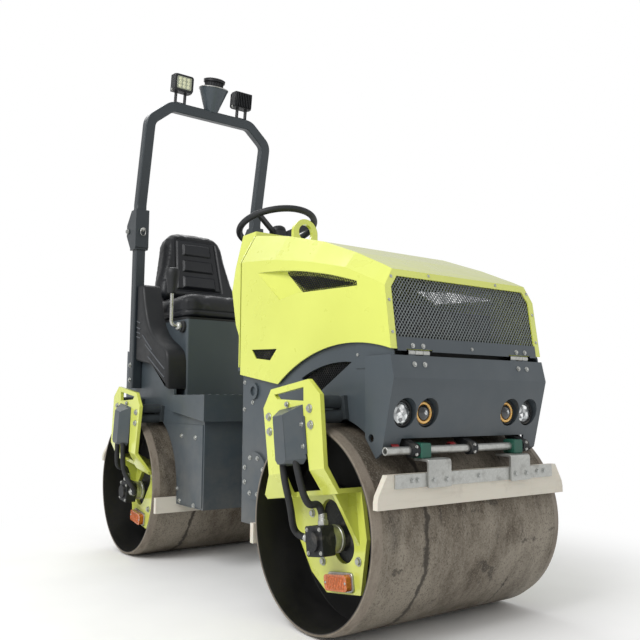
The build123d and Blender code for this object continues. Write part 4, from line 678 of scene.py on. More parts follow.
def crossWires(outline, angle, pitch):
    # straight wires at one angle, each cut to where it enters and leaves a convex outline
    along = Vector((math.cos(angle), math.sin(angle)))
    beside = Vector((-along[1], along[0]))
    area = sum(a[0] * b[1] - a[1] * b[0] for a, b in zip(outline, outline[1:] + outline[:1]))
    points = outline if area > 0 else outline[::-1]
    reach = [beside.dot(Vector(point)) for point in points]
    wires = []
    for i in range(math.ceil(min(reach) / pitch), math.floor(max(reach) / pitch) + 1):
        start, enter, leave = beside * (i * pitch), -1e6, 1e6
        for a, b in zip(points, points[1:] + points[:1]):
            inward = Vector((a[1] - b[1], b[0] - a[0]))
            rate, gap = inward.dot(along), inward.dot(start - Vector(a))
            if abs(rate) < 1e-9:
                leave = leave if gap >= 0 else enter
            elif rate > 0:
                enter = max(enter, -gap / rate)
            else:
                leave = min(leave, -gap / rate)
        if leave - enter > pitch / 2:
            wires.append((start + along * enter, start + along * leave))
    return wires


screenLook = {"grillePitch": 10.0, "grilleWire": 1.45, "grilleSunk": 6.8, "ventPitch": 8.5, "ventWire": 1.4,
              "slant": 52.0, "layerGap": 1.6, "scoopAt": (460.0, 305.0, 1154.0),
              "scoopFlare": (0.0596, 0.0699), "rearVentY": 323.4, "archY": 304.4}
# across and up the face for the grille, along and up the side for the others
grilleOutline = [(-313, 33), (313, 33), (313, 194), (285, 234), (-285, 234), (-313, 194)]
scoopOutline = [(462, 1151), (530, 1144), (600, 1131), (733, 1103), (884, 1061), (886, 1049), (568, 1064)]
rearVentOutline = [(256, 893), (452, 887), (398, 834), (292, 847)]
archOutline = [(856, 824), (778, 823), (711, 819), (640, 805), (570, 776), (620, 739), (688, 724)]


def screenPaths(outline, spec, pitch, wire, place):
    paths = []
    for turn, lift in ((spec["slant"], 0.5), (-spec["slant"], -0.5)):
        for ends in crossWires(outline, math.radians(turn), pitch):
            paths.append([place(point, lift * wire * spec["layerGap"]) for point in ends])
    return paths


def makeScreens(spec):
    # woven wire behind the grille, the scoops, the small rear openings and the wheel arches
    wire = spec["grilleWire"]
    paths = screenPaths(grilleOutline, spec, spec["grillePitch"], wire,
                        lambda p, out: facePoint(p[0], p[1], out - spec["grilleSunk"]))
    # the grille wire takes the light grey finish, a painted highlight on black wire
    obj = growOn("grilleScreen", tubeTree, {"Radius": wire, "Sides": 6}, *chains(paths), "grilleWire", "hood",
                 "black_mesh")
    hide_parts("hood_grille")
    wire, pitch, hoodPaths, archPaths = spec["ventWire"], spec["ventPitch"], [], []
    (x, y, z), (flareX, flareZ) = spec["scoopAt"], spec["scoopFlare"]
    for side in sides:
        hoodPaths += screenPaths(scoopOutline, spec, pitch, wire, lambda p, out: (
            p[0], side * (y + flareX * (p[0] - x) + flareZ * (p[1] - z) + out), p[1]))
        hoodPaths += screenPaths(rearVentOutline, spec, pitch, wire,
                                 lambda p, out: (p[0], side * (spec["rearVentY"] + out), p[1]))
        archPaths += screenPaths(archOutline, spec, pitch, wire,
                                 lambda p, out: (p[0], side * (spec["archY"] + out), p[1]))
    sizes = {"Radius": wire, "Sides": 5}
    obj = growOn("ventScreens", tubeTree, sizes, *chains(hoodPaths), "meshWire", "hood", "black_mesh")
    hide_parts("hood_vents")
    obj = growOn("archScreens", tubeTree, sizes, *chains(archPaths), "meshWire", "front_frame", "black_mesh")
    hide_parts("arch_vents")


makeScreens(screenLook)
print("screens woven")

boltLook = {"Head Width": 19.0, "Head Height": 8.5, "Washer Width": 27.0, "Washer Thickness": 5.0}
smallBoltLook = {"Head Width": 12.0, "Head Height": 6.0, "Washer Width": 18.0, "Washer Thickness": 4.0}
boltPlaces = {
    "forkOuter": ((-128, 354), (-128, 306), (103, 351), (103, 302)),
    "forkInner": ((-62, -107), (118, -104), (96, 64), (-100, 40)),
    "coverFlange": ((59, 308), (59, 242), (-14, 379)), "flangeSheet": 4.0,
    "motor": ((-4, -72), (60, -72), (-4, -4), (60, -4)), "motorFace": 400.0,
    "frontPlate": ((204, 768), (204, 669), (263, 694), (881, 838)),
    "rearPlate": ((-345, 550), (-212, 547), (-352, 276), (-218, 270), (-380, 324)), "rearSheet": 4.0,
    "roundCover": {"centre": (288, 432), "circle": 68, "count": 8, "face": 326},
    "post": ((-840, 800), (-840, 872)), "postFace": 356.0, "hoopPivot": (-895, 370, 1540),
    # places across, lift off the blade, drop below the rod, size
    "scraper": (((-277, -256, -7, 264, 296), 5.0, 80.0, 0.9), ((-202, -150, 150, 202), 13.0, 82.0, 1.0)),
    "hinge": {"y": (207, 248), "x": 1050, "z": 805, "out": (0.975, 0, 0.222), "leaf": (17, 2.6)},
    "hoodFrame": ((318, 55), (319, 150), (303, 222), (150, 238)),
}


def makeBolts(places):
    large = {"front_frame": [], "rear_frame": []}
    small = {"front_frame": [], "rear_frame": [], "hood": []}
    dark = {"front_frame": [], "rear_frame": []}
    forkSets = (("forkOuter", large, machine["forkOuter"], 1), ("forkInner", large, machine["forkInner"], 1),
                ("coverFlange", small, machine["forkOuter"] + places["flangeSheet"], 1),
                ("motor", dark, places["motorFace"], 0.7))
    rodZ = machine["rod"][1]
    for end, body in bodyAt.items():
        for side in sides:
            for key, group, depth, grow in forkSets:
                group[body] += [(forkPoint(end, side, x, z, depth), (0, side, 0), grow)
                                for x, z in places[key]]
        for across, lift, drop, grow in places["scraper"]:
            x, z = end * (machine["bladeFace"] + lift), rodZ - drop
            small[body] += [((x, y, z), (end, 0, 0), grow) for y in across]
    cover, hinge = places["roundCover"], places["hinge"]
    frontFace, rearFace = machine["frontPlate"], machine["rearPlate"] + places["rearSheet"]
    for side in sides:
        out = (0, side, 0)
        for i in range(cover["count"]):
            angle = 2 * math.pi * (i + 0.5) / cover["count"]
            x = cover["centre"][0] + cover["circle"] * math.cos(angle)
            z = cover["centre"][1] + cover["circle"] * math.sin(angle)
            small["front_frame"].append(((x, side * cover["face"], z), out, 1))
        small["front_frame"] += [((x, side * frontFace, z), out, 0.9) for x, z in places["frontPlate"]]
        small["rear_frame"] += [((x, side * rearFace, z), out, 1.1) for x, z in places["rearPlate"]]
        large["rear_frame"] += [((x, side * places["postFace"], z), out, 0.9) for x, z in places["post"]]
        x, y, z = places["hoopPivot"]
        large["rear_frame"].append(((x, side * y, z), out, 1))
        for y in hinge["y"]:
            small["front_frame"].append(((hinge["x"], side * y, hinge["z"]), hinge["out"], 0.9))
            small["hood"].append((facePoint(side * y, *hinge["leaf"]), faceOut, 0.85))
        small["hood"] += [(facePoint(side * y, up, 0), faceOut, 0.55) for y, up in places["hoodFrame"]]
    small["hood"].append((facePoint(0, *hinge["leaf"]), faceOut, 0.6))
    groups = ((large, boltLook, "largeBolts", "boltSteel"), (small, smallBoltLook, "smallBolts", "boltSteel"),
              (dark, smallBoltLook, "motorBolts", "zinc"))
    for group, look, name, steel in groups:
        for body, found in group.items():
            points, axes, grow = zip(*found)
            label = name + body.title().replace("_", "")
            growOn(label, fastenerTree, look, points, [], steel, body, "zinc_steel", axes, list(grow))


makeBolts(boltPlaces)
print("fasteners set")

lampLook = {"front": 1012.0, "height": 666.0, "headY": 270.0, "ringY": 181.0, "radius": 37.0, "tube": 4.5,
            "tubeInset": 8.5, "tubeOut": 2.0}


def makeLamps(spec):
    x, z, r, tube = spec["front"], spec["height"], spec["radius"], spec["tube"]
    ahead = (1, 0, 0)
    rim = [(r - 2, -2), (r + 3.5, -2), (r + 4, 4), (r + 1, 7), (r - 3, 5)]
    bowl = [(r - 1, 0), (r - 4, 4), (r - 14, 9), (10, 11), (0.5, 11.5)]
    glow = [(r - spec["tubeInset"] + tube * math.cos(a), spec["tubeOut"] + tube * math.sin(a))
            for a in np.linspace(0, 2 * math.pi, 13)[:-1]]
    eye = [(r - 13, 0), (r - 15, 6), (r - 22, 11), (9, 13), (0.5, 13.6)]
    heart = [(7, 12), (6.5, 14.5), (4, 16), (0.5, 16.5)]
    rims, bowls, rings, eyes, hearts = [], [], [], [], []
    for side in sides:
        at = (x, side * spec["headY"], z)
        rims.append(turned(rim, at, ahead, 36, True))
        bowls.append(turned(bowl, at, ahead, 36))
        at = (x, side * spec["ringY"], z)
        rims.append(turned(rim, at, ahead, 36, True))
        rings.append(turned(glow, at, ahead, 36, True))
        eyes.append(turned(eye, at, ahead, 32))
        hearts.append(turned(heart, at, ahead, 20))
    makePiece("lampRims", rims, "darkSteel", "front_frame")
    makePiece("headLampBowls", bowls, "reflector", "front_frame")
    makePiece("ringLampGlow", rings, "paleAmber", "front_frame")
    makePiece("ringLampEyes", eyes, "darkGlass", "front_frame")
    makePiece("ringLampHearts", hearts, "reflector", "front_frame")


makeLamps(lampLook)

markerLook = {"at": (26.0, -165.0), "base": (62.0, 29.0, 7.0), "corner": 13.0, "lensFace": 26.0,
              "ribRise": 19.0, "ribPitch": 8.0, "rib": 1.7, "screwX": 49.0,
              "screw": {"Radius": 4.5, "Height": 2.5}}


def makeMarkers(spec):
    x, z = spec["at"]
    half, rise, thick = spec["base"]
    face = machine["forkInner"] + spec["lensFace"]
    for end, body in bodyAt.items():
        bases, paths, studs, axes = [], [], [], []
        for side in sides:
            across, up = forkAxes(end, side)
            origin = forkPoint(end, side, x, z, machine["forkInner"])
            bases.append(slab(roundedBox(half, rise, spec["corner"]), origin, across, up, thick))
            for i in range(-5, 6):
                step = x + i * spec["ribPitch"]
                paths.append([forkPoint(end, side, step, z + k * spec["ribRise"], face) for k in (-1, 1)])
            studs += [forkPoint(end, side, x + k * spec["screwX"], z, face) for k in (-1, 1)]
            axes += [(0, side, 0)] * 2
        name = body.split("_")[0]
        makePiece(name + "MarkerBases", bases, "zinc", body)
        sizes = {"Radius": spec["rib"], "Sides": 6}
        growOn(name + "MarkerRibs", tubeTree, sizes, *chains(paths), "amber", body, "amber_lens")
        growOn(name + "MarkerScrews", studTree, spec["screw"], studs, [], "bright", body, "zinc_steel", axes)


makeMarkers(markerLook)
print("lamps fitted")

hingeLook = {"at": (1036.0, 840.0), "middle": 222.0, "barrel": 9.0, "knuckle": 26.0, "reach": 42.0,
             "eye": 30.0, "sillHalf": 306.0, "sillLow": 1.0, "sillTop": 42.0, "sillSheet": 2.6,
             "notch": 52.0, "notchTop": 7.0}


def makeHinges(spec):
    x, z = spec["at"]
    r, middle = spec["barrel"], spec["middle"]
    reach, knuckle, eye = spec["reach"], spec["knuckle"], spec["eye"]
    fixed, moving = [], []
    for side in sides:
        for start, length, group in ((-reach, knuckle, fixed), (-eye / 2, eye, moving),
                                     (reach - knuckle, knuckle, fixed)):
            barrel = [(r - 1, 0), (r, 1), (r, length - 1), (r - 1, length)]
            group.append(turned(barrel, (x, side * middle + start, z), (0, 1, 0), 18))
    makePiece("hingeBarrelsFixed", fixed, "zinc", "front_frame")
    makePiece("hingeBarrelsMoving", moving, "zinc", "hood")
    half, low, top = spec["sillHalf"], spec["sillLow"], spec["sillTop"]
    notch, step = spec["notch"], spec["notchTop"]
    strip = [(-half, low)]  # the lower edge steps up over each hinge
    for y in (-middle, middle):
        strip += [(y - notch, low), (y - notch, step), (y + notch, step), (y + notch, low)]
    strip += [(half, low), (half, top), (-half, top)]
    part = slab(strip, facePoint(0, 0, 0), (0, 1, 0), faceUp, spec["sillSheet"], 0.8)
    makePiece("grilleSill", [part], "grey", "hood")


makeHinges(hingeLook)

noseLook = {"cheek": ((872, 796), (1044, 796), (1040, 842), (1018, 880), (872, 890)), "cheekY": 315.0,
            "cheekSheet": 6.0, "seal": (312.0, 26.0, 6.0), "sealPlace": (985.0, 0.0, 838.0),
            "sealThick": 22.0}


def makeCheeks(spec):
    # thin plates that close the sides between the hood's lower edge and the bumper
    parts = []
    for side in sides:
        outline, origin = [(-side * x, z) for x, z in spec["cheek"]], (0, side * spec["cheekY"], 0)
        parts.append(slab(outline, origin, (-side, 0, 0), (0, 0, 1), spec["cheekSheet"], 0.8))
    makePiece("noseCheeks", parts, "grey", "front_frame")
    seal = slab(roundedBox(*spec["seal"]), spec["sealPlace"], (0, 1, 0), (0, 0, 1), spec["sealThick"], 4)
    makePiece("noseSeal", [seal], "rubber", "front_frame")


makeCheeks(noseLook)

scraperLook = {"blocks": (-206.0, 197.0), "block": (20.0, 22.0, 46.0), "rodRadius": 12.0,
               "rodSpan": (-345.0, 262.0), "arms": (-176.0, 176.0), "armWidth": 90.0, "armSheet": 7.0,
               "armLow": 456.0, "armDrop": 23.0, "armFront": 13.0, "armBack": 16.0,
               "stripZ": (459.0, 497.0), "stripHalf": 340.0, "stripSheet": 5.0,
               "springRadius": 13.0, "springWire": 2.2, "springAt": (22.0, 4.0), "turns": 5, "turnSteps": 14,
               "springs": ((-304, -278), (-72, -50)), "clampY": (-240, 0, 240), "clampFace": 17.0,
               "clampRise": 10.0, "clampSize": 0.62}


def makeScraperGear(spec):
    x, z = machine["rod"]
    face = machine["bladeFace"]
    top, front, back = z - spec["armDrop"], face + spec["armFront"], x - spec["armBack"]
    inside, under, foot = front - spec["armSheet"], top - spec["armSheet"], spec["armLow"]
    bent = [(back, top), (front - 9, top), (front - 3, top - 3), (front, top - 9), (front, foot),
            (inside, foot), (inside, under - 4), (inside - 4, under), (back, under)]
    coil, (springX, springZ) = spec["springRadius"], spec["springAt"]
    steps = spec["turns"] * spec["turnSteps"]
    for end, body in bodyAt.items():
        name = body.split("_")[0]
        arms, blocks, paths, bolts, axes = [], [], [], [], []
        for y in spec["arms"]:
            origin = (0, y + end * spec["armWidth"] / 2, 0)
            arms.append(slab(bent, origin, (end, 0, 0), (0, 0, 1), spec["armWidth"], 0.8))
        half, (low, high) = spec["stripHalf"], spec["stripZ"]
        bar = [(-half, low), (half, low), (half, high), (-half, high)]
        arms.append(slab(bar, (end * face, 0, 0), (0, end, 0), (0, 0, 1), spec["stripSheet"], 0.8))
        r, (start, stop) = spec["rodRadius"], spec["rodSpan"]
        hollow = [(r - 4, 20), (r - 4, 0.6), (r - 1, 0), (r, 1), (r, stop - start - 1), (r - 1, stop - start)]
        rod = turned(hollow, (end * x, start, z), (0, 1, 0), 24)
        half, rise, deep = spec["block"]
        for y in spec["blocks"]:
            origin = (end * (x - deep / 2), y, z - 1)
            blocks.append(slab(roundedBox(half, rise, 6), origin, (0, end, 0), (0, 0, 1), deep, 3))
        for low, high in spec["springs"]:
            path = []
            for i in range(steps + 1):
                angle, share = 2 * math.pi * i / spec["turnSteps"], i / steps
                path.append((end * (x - springX + coil * math.cos(angle)), low + (high - low) * share,
                             z + springZ + coil * math.sin(angle)))
            paths.append(path)
        for y in spec["clampY"]:
            bolts += [(end * (x + spec["clampFace"]), y, z + k * spec["clampRise"]) for k in (-1, 1)]
            axes += [(end, 0, 0)] * 2
        obj = makePiece(name + "ScraperArms", arms + [rod], "zinc", body)
        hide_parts(name + "_scraper_mounts")
        makePiece(name + "ScraperBlocks", blocks, "bush", body)
        sizes = {"Radius": spec["springWire"], "Sides": 6}
        growOn(name + "ScraperSprings", tubeTree, sizes, *chains(paths), "redSpring", body, "black_steel")
        growOn(name + "ClampBolts", fastenerTree, smallBoltLook, bolts, [], "bright", body, "zinc_steel",
               axes, [spec["clampSize"]] * len(bolts))


makeScraperGear(scraperLook)
print("scraper gear fitted")

hoseCoverLook = {"base": ((-64, 368), (68, 368), (68, 205), (50, 190), (-46, 190), (-64, 206)),
                 "brow": ((-40, 344), (18, 344), (20, 206), (10, 196), (-30, 196), (-40, 208)), "depth": 44.0,
                 "fold": 2.0, "draw": 0.965, "flange": (60, 275), "flangeSize": (15, 58, 6), "sheet": 4.0}


def makeHoseCovers(spec):
    # folded sheet: steep on one side, a long slope on the other, and a screwed flange
    start, count = machine["forkOuter"], len(spec["base"])
    top = start + spec["depth"]
    rings = ((spec["base"], start, 1.0), (spec["brow"], top - spec["fold"], 1.0),
             (spec["brow"], top, spec["draw"]))
    for end, body in bodyAt.items():
        name, parts = body.split("_")[0], []
        for side in sides:
            verts = []
            for outline, depth, draw in rings:
                middle = sum(z for _, z in outline) / count
                verts += [forkPoint(end, side, x * draw, middle + (z - middle) * draw, depth)
                          for x, z in outline]
            parts.append((verts, skin(len(rings), count)))
            across, up = forkAxes(end, side)
            origin = forkPoint(end, side, *spec["flange"], start)
            parts.append(slab(roundedBox(*spec["flangeSize"]), origin, across, up, spec["sheet"], 0.8))
        obj = makePiece(name + "HoseCoverSheets", parts, "grey", body, 20)
        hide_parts(name + "_hose_covers")


makeHoseCovers(hoseCoverLook)

fittingLook = {"depth": 377.0, "feed": (-15.0, -30.0), "back": (50.0, 9.0), "nut": 17.0, "ferrule": 13.6,
               "collarAt": (28.0, -38.0, 312.0)}


def makeHoseFittings(spec):
    lean = math.radians(machine["forkLean"])
    nut, r = spec["nut"], spec["ferrule"]
    hexagon = [(nut - 2, -3), (nut, -1), (nut, 11), (nut - 2.5, 13)]
    crimp = [(r - 2, 11), (r, 12), (r, 16), (r - 1.2, 18), (r, 20), (r, 24), (r - 1.2, 26), (r, 28),
             (r - 1.5, 33)]
    collar = [(38, 0), (42.5, 1), (42.5, 9), (40.6, 11), (40.6, 24), (42.5, 26), (42.5, 36), (38, 37)]
    for end, body in bodyAt.items():
        parts = []
        for side in sides:
            for at, axis in ((spec["feed"], (-end * math.cos(lean), 0, -math.sin(lean))),
                             (spec["back"], (-end * math.sin(lean), 0, math.cos(lean)))):
                origin = forkPoint(end, side, *at, spec["depth"])
                parts.append(turned(hexagon, origin, axis, 6))
                parts.append(turned(crimp, origin, axis, 18))
            parts.append(turned(collar, forkPoint(end, side, *spec["collarAt"]), (0, side, 0), 36, True))
        makePiece(body.split("_")[0] + "HoseFittings", parts, "zinc", body, 25)


makeHoseFittings(fittingLook)

barLook = {"x": -744.0, "top": 2200.0, "lampLean": 7.0, "lampY": 177.0, "lampFace": 34.0, "lampMiddle": 99.0,
           "bezel": (51, 42, 12), "panel": (39, 31, 6), "finHalf": 2.0, "finRise": 36.0, "finDeep": 13.0,
           "finPitch": 10.0, "cellPitch": (22.0, 18.0), "cell": {"Radius": 10.3, "Height": 2.5},
           "pivot": (6.0, 48.0, -35.0), "beaconLean": 12.0, "ribs": 24, "ribCircle": 46.0, "ribZ": (119, 149)}


def barPoint(x, y, z, degrees, spec=barLook):
    lean = math.radians(degrees)
    height = spec["top"] - x * math.sin(lean) + z * math.cos(lean)
    return spec["x"] + x * math.cos(lean) + z * math.sin(lean), y, height


def makeHoopGear(spec):
    lean = math.radians(spec["lampLean"])
    up, forward = Vector((math.sin(lean), 0, math.cos(lean))), Vector((math.cos(lean), 0, -math.sin(lean)))
    half, rise = spec["finHalf"], spec["finRise"]
    fin = [(-half, -rise), (half, -rise), (half, rise), (-half, rise)]
    pivotX, pivotY, pivotZ = spec["pivot"]
    cellY, cellZ = spec["cellPitch"]
    bezels, fins, panels, cells, axes, pivots = [], [], [], [], [], []

    def lampPoint(x, y, z=0):
        return barPoint(x, y, spec["lampMiddle"] + z, spec["lampLean"])

    for side, facing in ((-1, 1), (1, -1)):
        y, face = side * spec["lampY"], spec["lampFace"] * facing
        across = Vector((0, facing, 0))
        bezels.append(slab(roundedBox(*spec["bezel"]), lampPoint(face - facing, y), across, up, 6, 2))
        panels.append(slab(roundedBox(*spec["panel"]), lampPoint(face + facing * 4, y), across, up, 2, 0.5))
        for i in range(-4, 5):
            origin = lampPoint(facing * -20, y + i * spec["finPitch"])
            fins.append(slab(fin, origin, -across, up, spec["finDeep"], 0.6))
        for i in (-1, 0, 1):
            for k in (-1, 0, 1):
                cells.append(lampPoint(face + facing * 5, y + i * cellY, k * cellZ))
                axes.append(tuple(forward * facing))
        for k in (-1, 1):
            pivots.append((lampPoint(facing * pivotX, y + k * pivotY, pivotZ), (0, k, 0)))
    makePiece("workLampBezels", bezels, "plastic", "rops_hoop")
    makePiece("workLampPanels", panels, "lampPanel", "rops_hoop")
    makePiece("workLampFins", fins, "plastic", "rops_hoop")
    growOn("workLampCells", studTree, spec["cell"], cells, [], "diode", "rops_hoop", "lamp_glass", axes)
    points, turns = zip(*pivots)
    growOn("workLampPivots", fastenerTree, smallBoltLook, points, [], "zinc", "rops_hoop", "zinc_steel",
           turns)
    lean = math.radians(spec["beaconLean"])
    axis = (math.sin(lean), 0, math.cos(lean))
    foot = barPoint(0, 0, -4, spec["beaconLean"])
    ribs = []
    for i in range(spec["ribs"]):
        angle = 2 * math.pi * i / spec["ribs"]
        x, y = spec["ribCircle"] * math.cos(angle), spec["ribCircle"] * math.sin(angle)
        ribs.append([barPoint(x, y, z, spec["beaconLean"]) for z in spec["ribZ"]])
    sizes = {"Radius": 3.0, "Sides": 6}
    growOn("beaconRibs", tubeTree, sizes, *chains(ribs), "plastic", "rops_hoop", "black_plastic")
    rim = [(72, 119), (76, 119), (77, 121), (76, 123.5), (72, 123.5)]
    makePiece("beaconRim", [turned(rim, foot, axis, 40, True)], "bright", "rops_hoop")
    cap = [(56, 163), (56, 167), (50, 170), (30, 171.5), (0.5, 172)]
    makePiece("beaconCap", [turned(cap, foot, axis, 36)], "rubber", "rops_hoop")


makeHoopGear(barLook)

collarLook = {"x": -804.0, "y": 331.0, "z": 1538.0, "clip": (13.0, 17.0), "clipDrop": 14.0, "clipOut": 11.0,
              "clipWire": 1.6}


def makeCollarPins(spec):
    pins, clips = [], []
    pin = [(9, -2), (9, 3), (6, 5), (6, 15), (8, 17), (8, 21), (6, 23)]
    half, rise = spec["clip"]
    for side in sides:
        x, y, z = spec["x"], side * spec["y"], spec["z"]
        pins.append(turned(pin, (x, y, z), (1, 0, 0), 18))
        clips.append([(x + spec["clipOut"], y + half * math.sin(a), z - spec["clipDrop"] + rise * math.cos(a))
                      for a in np.linspace(0.3, 6.0, 18)])
    makePiece("collarPins", pins, "zinc", "rear_frame")
    sizes = {"Radius": spec["clipWire"], "Sides": 6}
    growOn("collarClips", tubeTree, sizes, *chains(clips), "bright", "rear_frame", "zinc_steel")


makeCollarPins(collarLook)
print("hoop dressed")

leverLook = {"x": -475.0, "y": -314.0, "z": 1036.0, "seatSide": -261.0, "rod": 8.0, "bend": 26.0,
             "gripLow": 1184.0, "overlap": 6.0}


def makeLever(spec):
    x, y, z, bend = spec["x"], spec["y"], spec["z"], spec["bend"]
    path = [(x, y, spec["gripLow"] + spec["overlap"])]
    path += [(x, y + bend * (1 - math.cos(a)), z + bend * (1 - math.sin(a)))
             for a in np.linspace(0, math.pi / 2, 9)]
    path.append((x, spec["seatSide"] + spec["overlap"], z))
    sizes = {"Radius": spec["rod"], "Sides": 16}
    obj = growOn("leverRod", tubeTree, sizes, *chains([path]), "bright", "rear_frame", "zinc_steel")
    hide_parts("travel_lever")
    profile = [(9, 0), (17, 1), (20, 6), (22, 22), (25, 50), (29, 72), (31, 88), (31, 104), (27, 113),
               (14, 117.5), (0.5, 118)]
    grip = turned(profile, (x, y, spec["gripLow"]), (0, 0, 1), 28)
    makePiece("leverGrip", [grip], "plastic", "rear_frame")
    foot = (x, spec["seatSide"], z)
    joint = turned([(9, 4), (15, 6), (19, 12), (19, 20), (15, 26), (11, 28)], foot, (0, -1, 0), 24)
    makePiece("leverJoint", [joint], "zinc", "rear_frame")
    boot = turned([(27, -10), (27, 2), (22, 5), (12, 7)], foot, (0, -1, 0), 24)
    makePiece("leverBoot", [boot], "rubber", "rear_frame")


makeLever(leverLook)

wheelLook = {"centre": (-88.0, 0.0, 1460.0), "tilt": 17.0, "dish": 48.0}


def makeWheelCap(spec):
    tilt = math.radians(spec["tilt"])
    axis = Vector((-math.sin(tilt), 0, math.cos(tilt)))
    cap = [(33, 16), (36, 18), (37, 28), (35, 37), (29, 43), (16, 46), (0.5, 47)]
    origin = Vector(spec["centre"]) - axis * spec["dish"]
    makePiece("wheelCap", [turned(cap, origin, axis, 32)], "plastic", "steering_wheel")


makeWheelCap(wheelLook)

dashLook = {"middle": (49.0, 0.0, 1293.0), "slope": (58.0, 0.0, 126.0), "panel": (190.0, 52.0, 14.0),
            "sheet": 5.0, "gauge": 34.0, "gaugeAt": -70.0, "ticks": 13, "switches": (10, 42, 74),
            "keyAt": 130.0, "lamps": (-20, 0, 20, 40), "lampUp": 36.0, "lamp": {"Radius": 5.0, "Height": 3.0}}


def makeDash(spec):
    up = Vector(spec["slope"]).normalized()
    across = Vector((0, -1, 0))
    out = across.cross(up)

    def at(a, u, lift):
        return tuple(Vector(spec["middle"]) + across * a + up * u + out * lift)

    r, centre = spec["gauge"], spec["gaugeAt"]
    panel = slab(roundedBox(*spec["panel"]), at(0, 0, 0), across, up, spec["sheet"])
    makePiece("dashPanel", [panel], "plastic", "front_frame")
    profile = [(r - 6, 5), (r, 5), (r, 13), (r - 2, 15), (r - 5, 13), (r - 6, 9)]
    bezel = turned(profile, at(centre, 0, 0), out, 36, True)
    makePiece("dialBezel", [bezel], "darkSteel", "front_frame")
    card = turned([(r - 5, 5), (r - 5, 9.5), (0.5, 9.6)], at(centre, 0, 0), out, 36)
    makePiece("dialFace", [card], "dialFace", "front_frame")
    ticks = []
    for i in range(spec["ticks"]):
        angle = math.radians(225 - 22.5 * i)
        inner = r - 14 if i % 3 == 0 else r - 11
        ticks.append([at(centre + k * math.cos(angle), k * math.sin(angle), 10) for k in (inner, r - 8)])
    ticks.append([at(centre, 0, 11), at(centre - 12, 10, 11)])  # the needle
    sizes = {"Radius": 0.8, "Sides": 5}
    growOn("dialTicks", tubeTree, sizes, *chains(ticks), "darkSteel", "front_frame", "black_steel")
    switches = [slab(roundedBox(10, 17, 3), at(a, 0, 4), across, up, 9, 3) for a in spec["switches"]]
    makePiece("dashSwitches", switches, "rubber", "front_frame")
    profile = [(7, 4), (15, 5), (15, 10), (12, 13), (8, 13), (7, 9)]
    key = turned(profile, at(spec["keyAt"], 0, 0), out, 28, True)
    makePiece("keySwitch", [key], "bright", "front_frame")
    lamps = [at(a, spec["lampUp"], 5) for a in spec["lamps"]]
    growOn("dashLamps", studTree, spec["lamp"], lamps, [], "amber", "front_frame", "amber_lens",
           [tuple(out)] * len(lamps))


makeDash(dashLook)
print("controls fitted")

coverLook = {"rear": -810.0, "foot": 892.0, "inner": 252.0, "outer": 345.0, "soft": 15.0,
             "front": ((-628, 865), (-445, 752), (-441, 760), (-444, 880), (-450, 905), (-463, 924),
                       (-484, 938), (-508, 951), (-560, 974), (-596, 992), (-630, 1016), (-660, 1048),
                       (-690, 1096), (-713, 1150), (-730, 1202)),
             "brow": ((68, 1245), (50, 1258), (0, 1258))}


def makeCovers(spec):
    # the moulded covers beside the seat, with the rounded fall at the front that the photo shows
    outline = [(spec["rear"], spec["foot"]), *spec["front"]]
    outline += [(spec["rear"] + x, z) for x, z in spec["brow"]]
    thick, parts = spec["outer"] - spec["inner"], []
    for side in sides:
        mirrored = [(-side * x, z) for x, z in outline]
        origin = (0, side * spec["inner"], 0)
        parts.append(mouldedSlab(mirrored, origin, (-side, 0, 0), (0, 0, 1), thick, spec["soft"]))
    obj = makePiece("sideMouldings", parts, "plastic", "rear_frame", 40)
    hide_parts("side_covers")


makeCovers(coverLook)

stationLook = {"floorTop": 725.0, "floorX": (-424.0, -136.0), "floorHalf": 300.0, "studPitch": 36.0,
               "stud": {"Radius": 8.0, "Height": 2.4}, "hatchX": -985.0, "hatchZ": 880.0,
               "hatch": (190.0, 130.0), "hatchSheet": 7.0, "slatPitch": 22.0, "slatShort": 45.0,
               "screwInset": 20.0, "coverY": 345.0,
               "ribs": ((-726, 1010, -612, 933), (-690, 963, -466, 840), (-654, 904, -466, 803),
                        (-798, 1082, -757, 1070), (-798, 1053, -756, 1041), (-798, 1030, -754, 1019),
                        (-798, 1008, -752, 997)),
               "panel": ((-150, 600), (-150, 266), (-384, 266), (-384, 318), (-392, 380), (-420, 470),
                         (-472, 545), (-528, 600))}


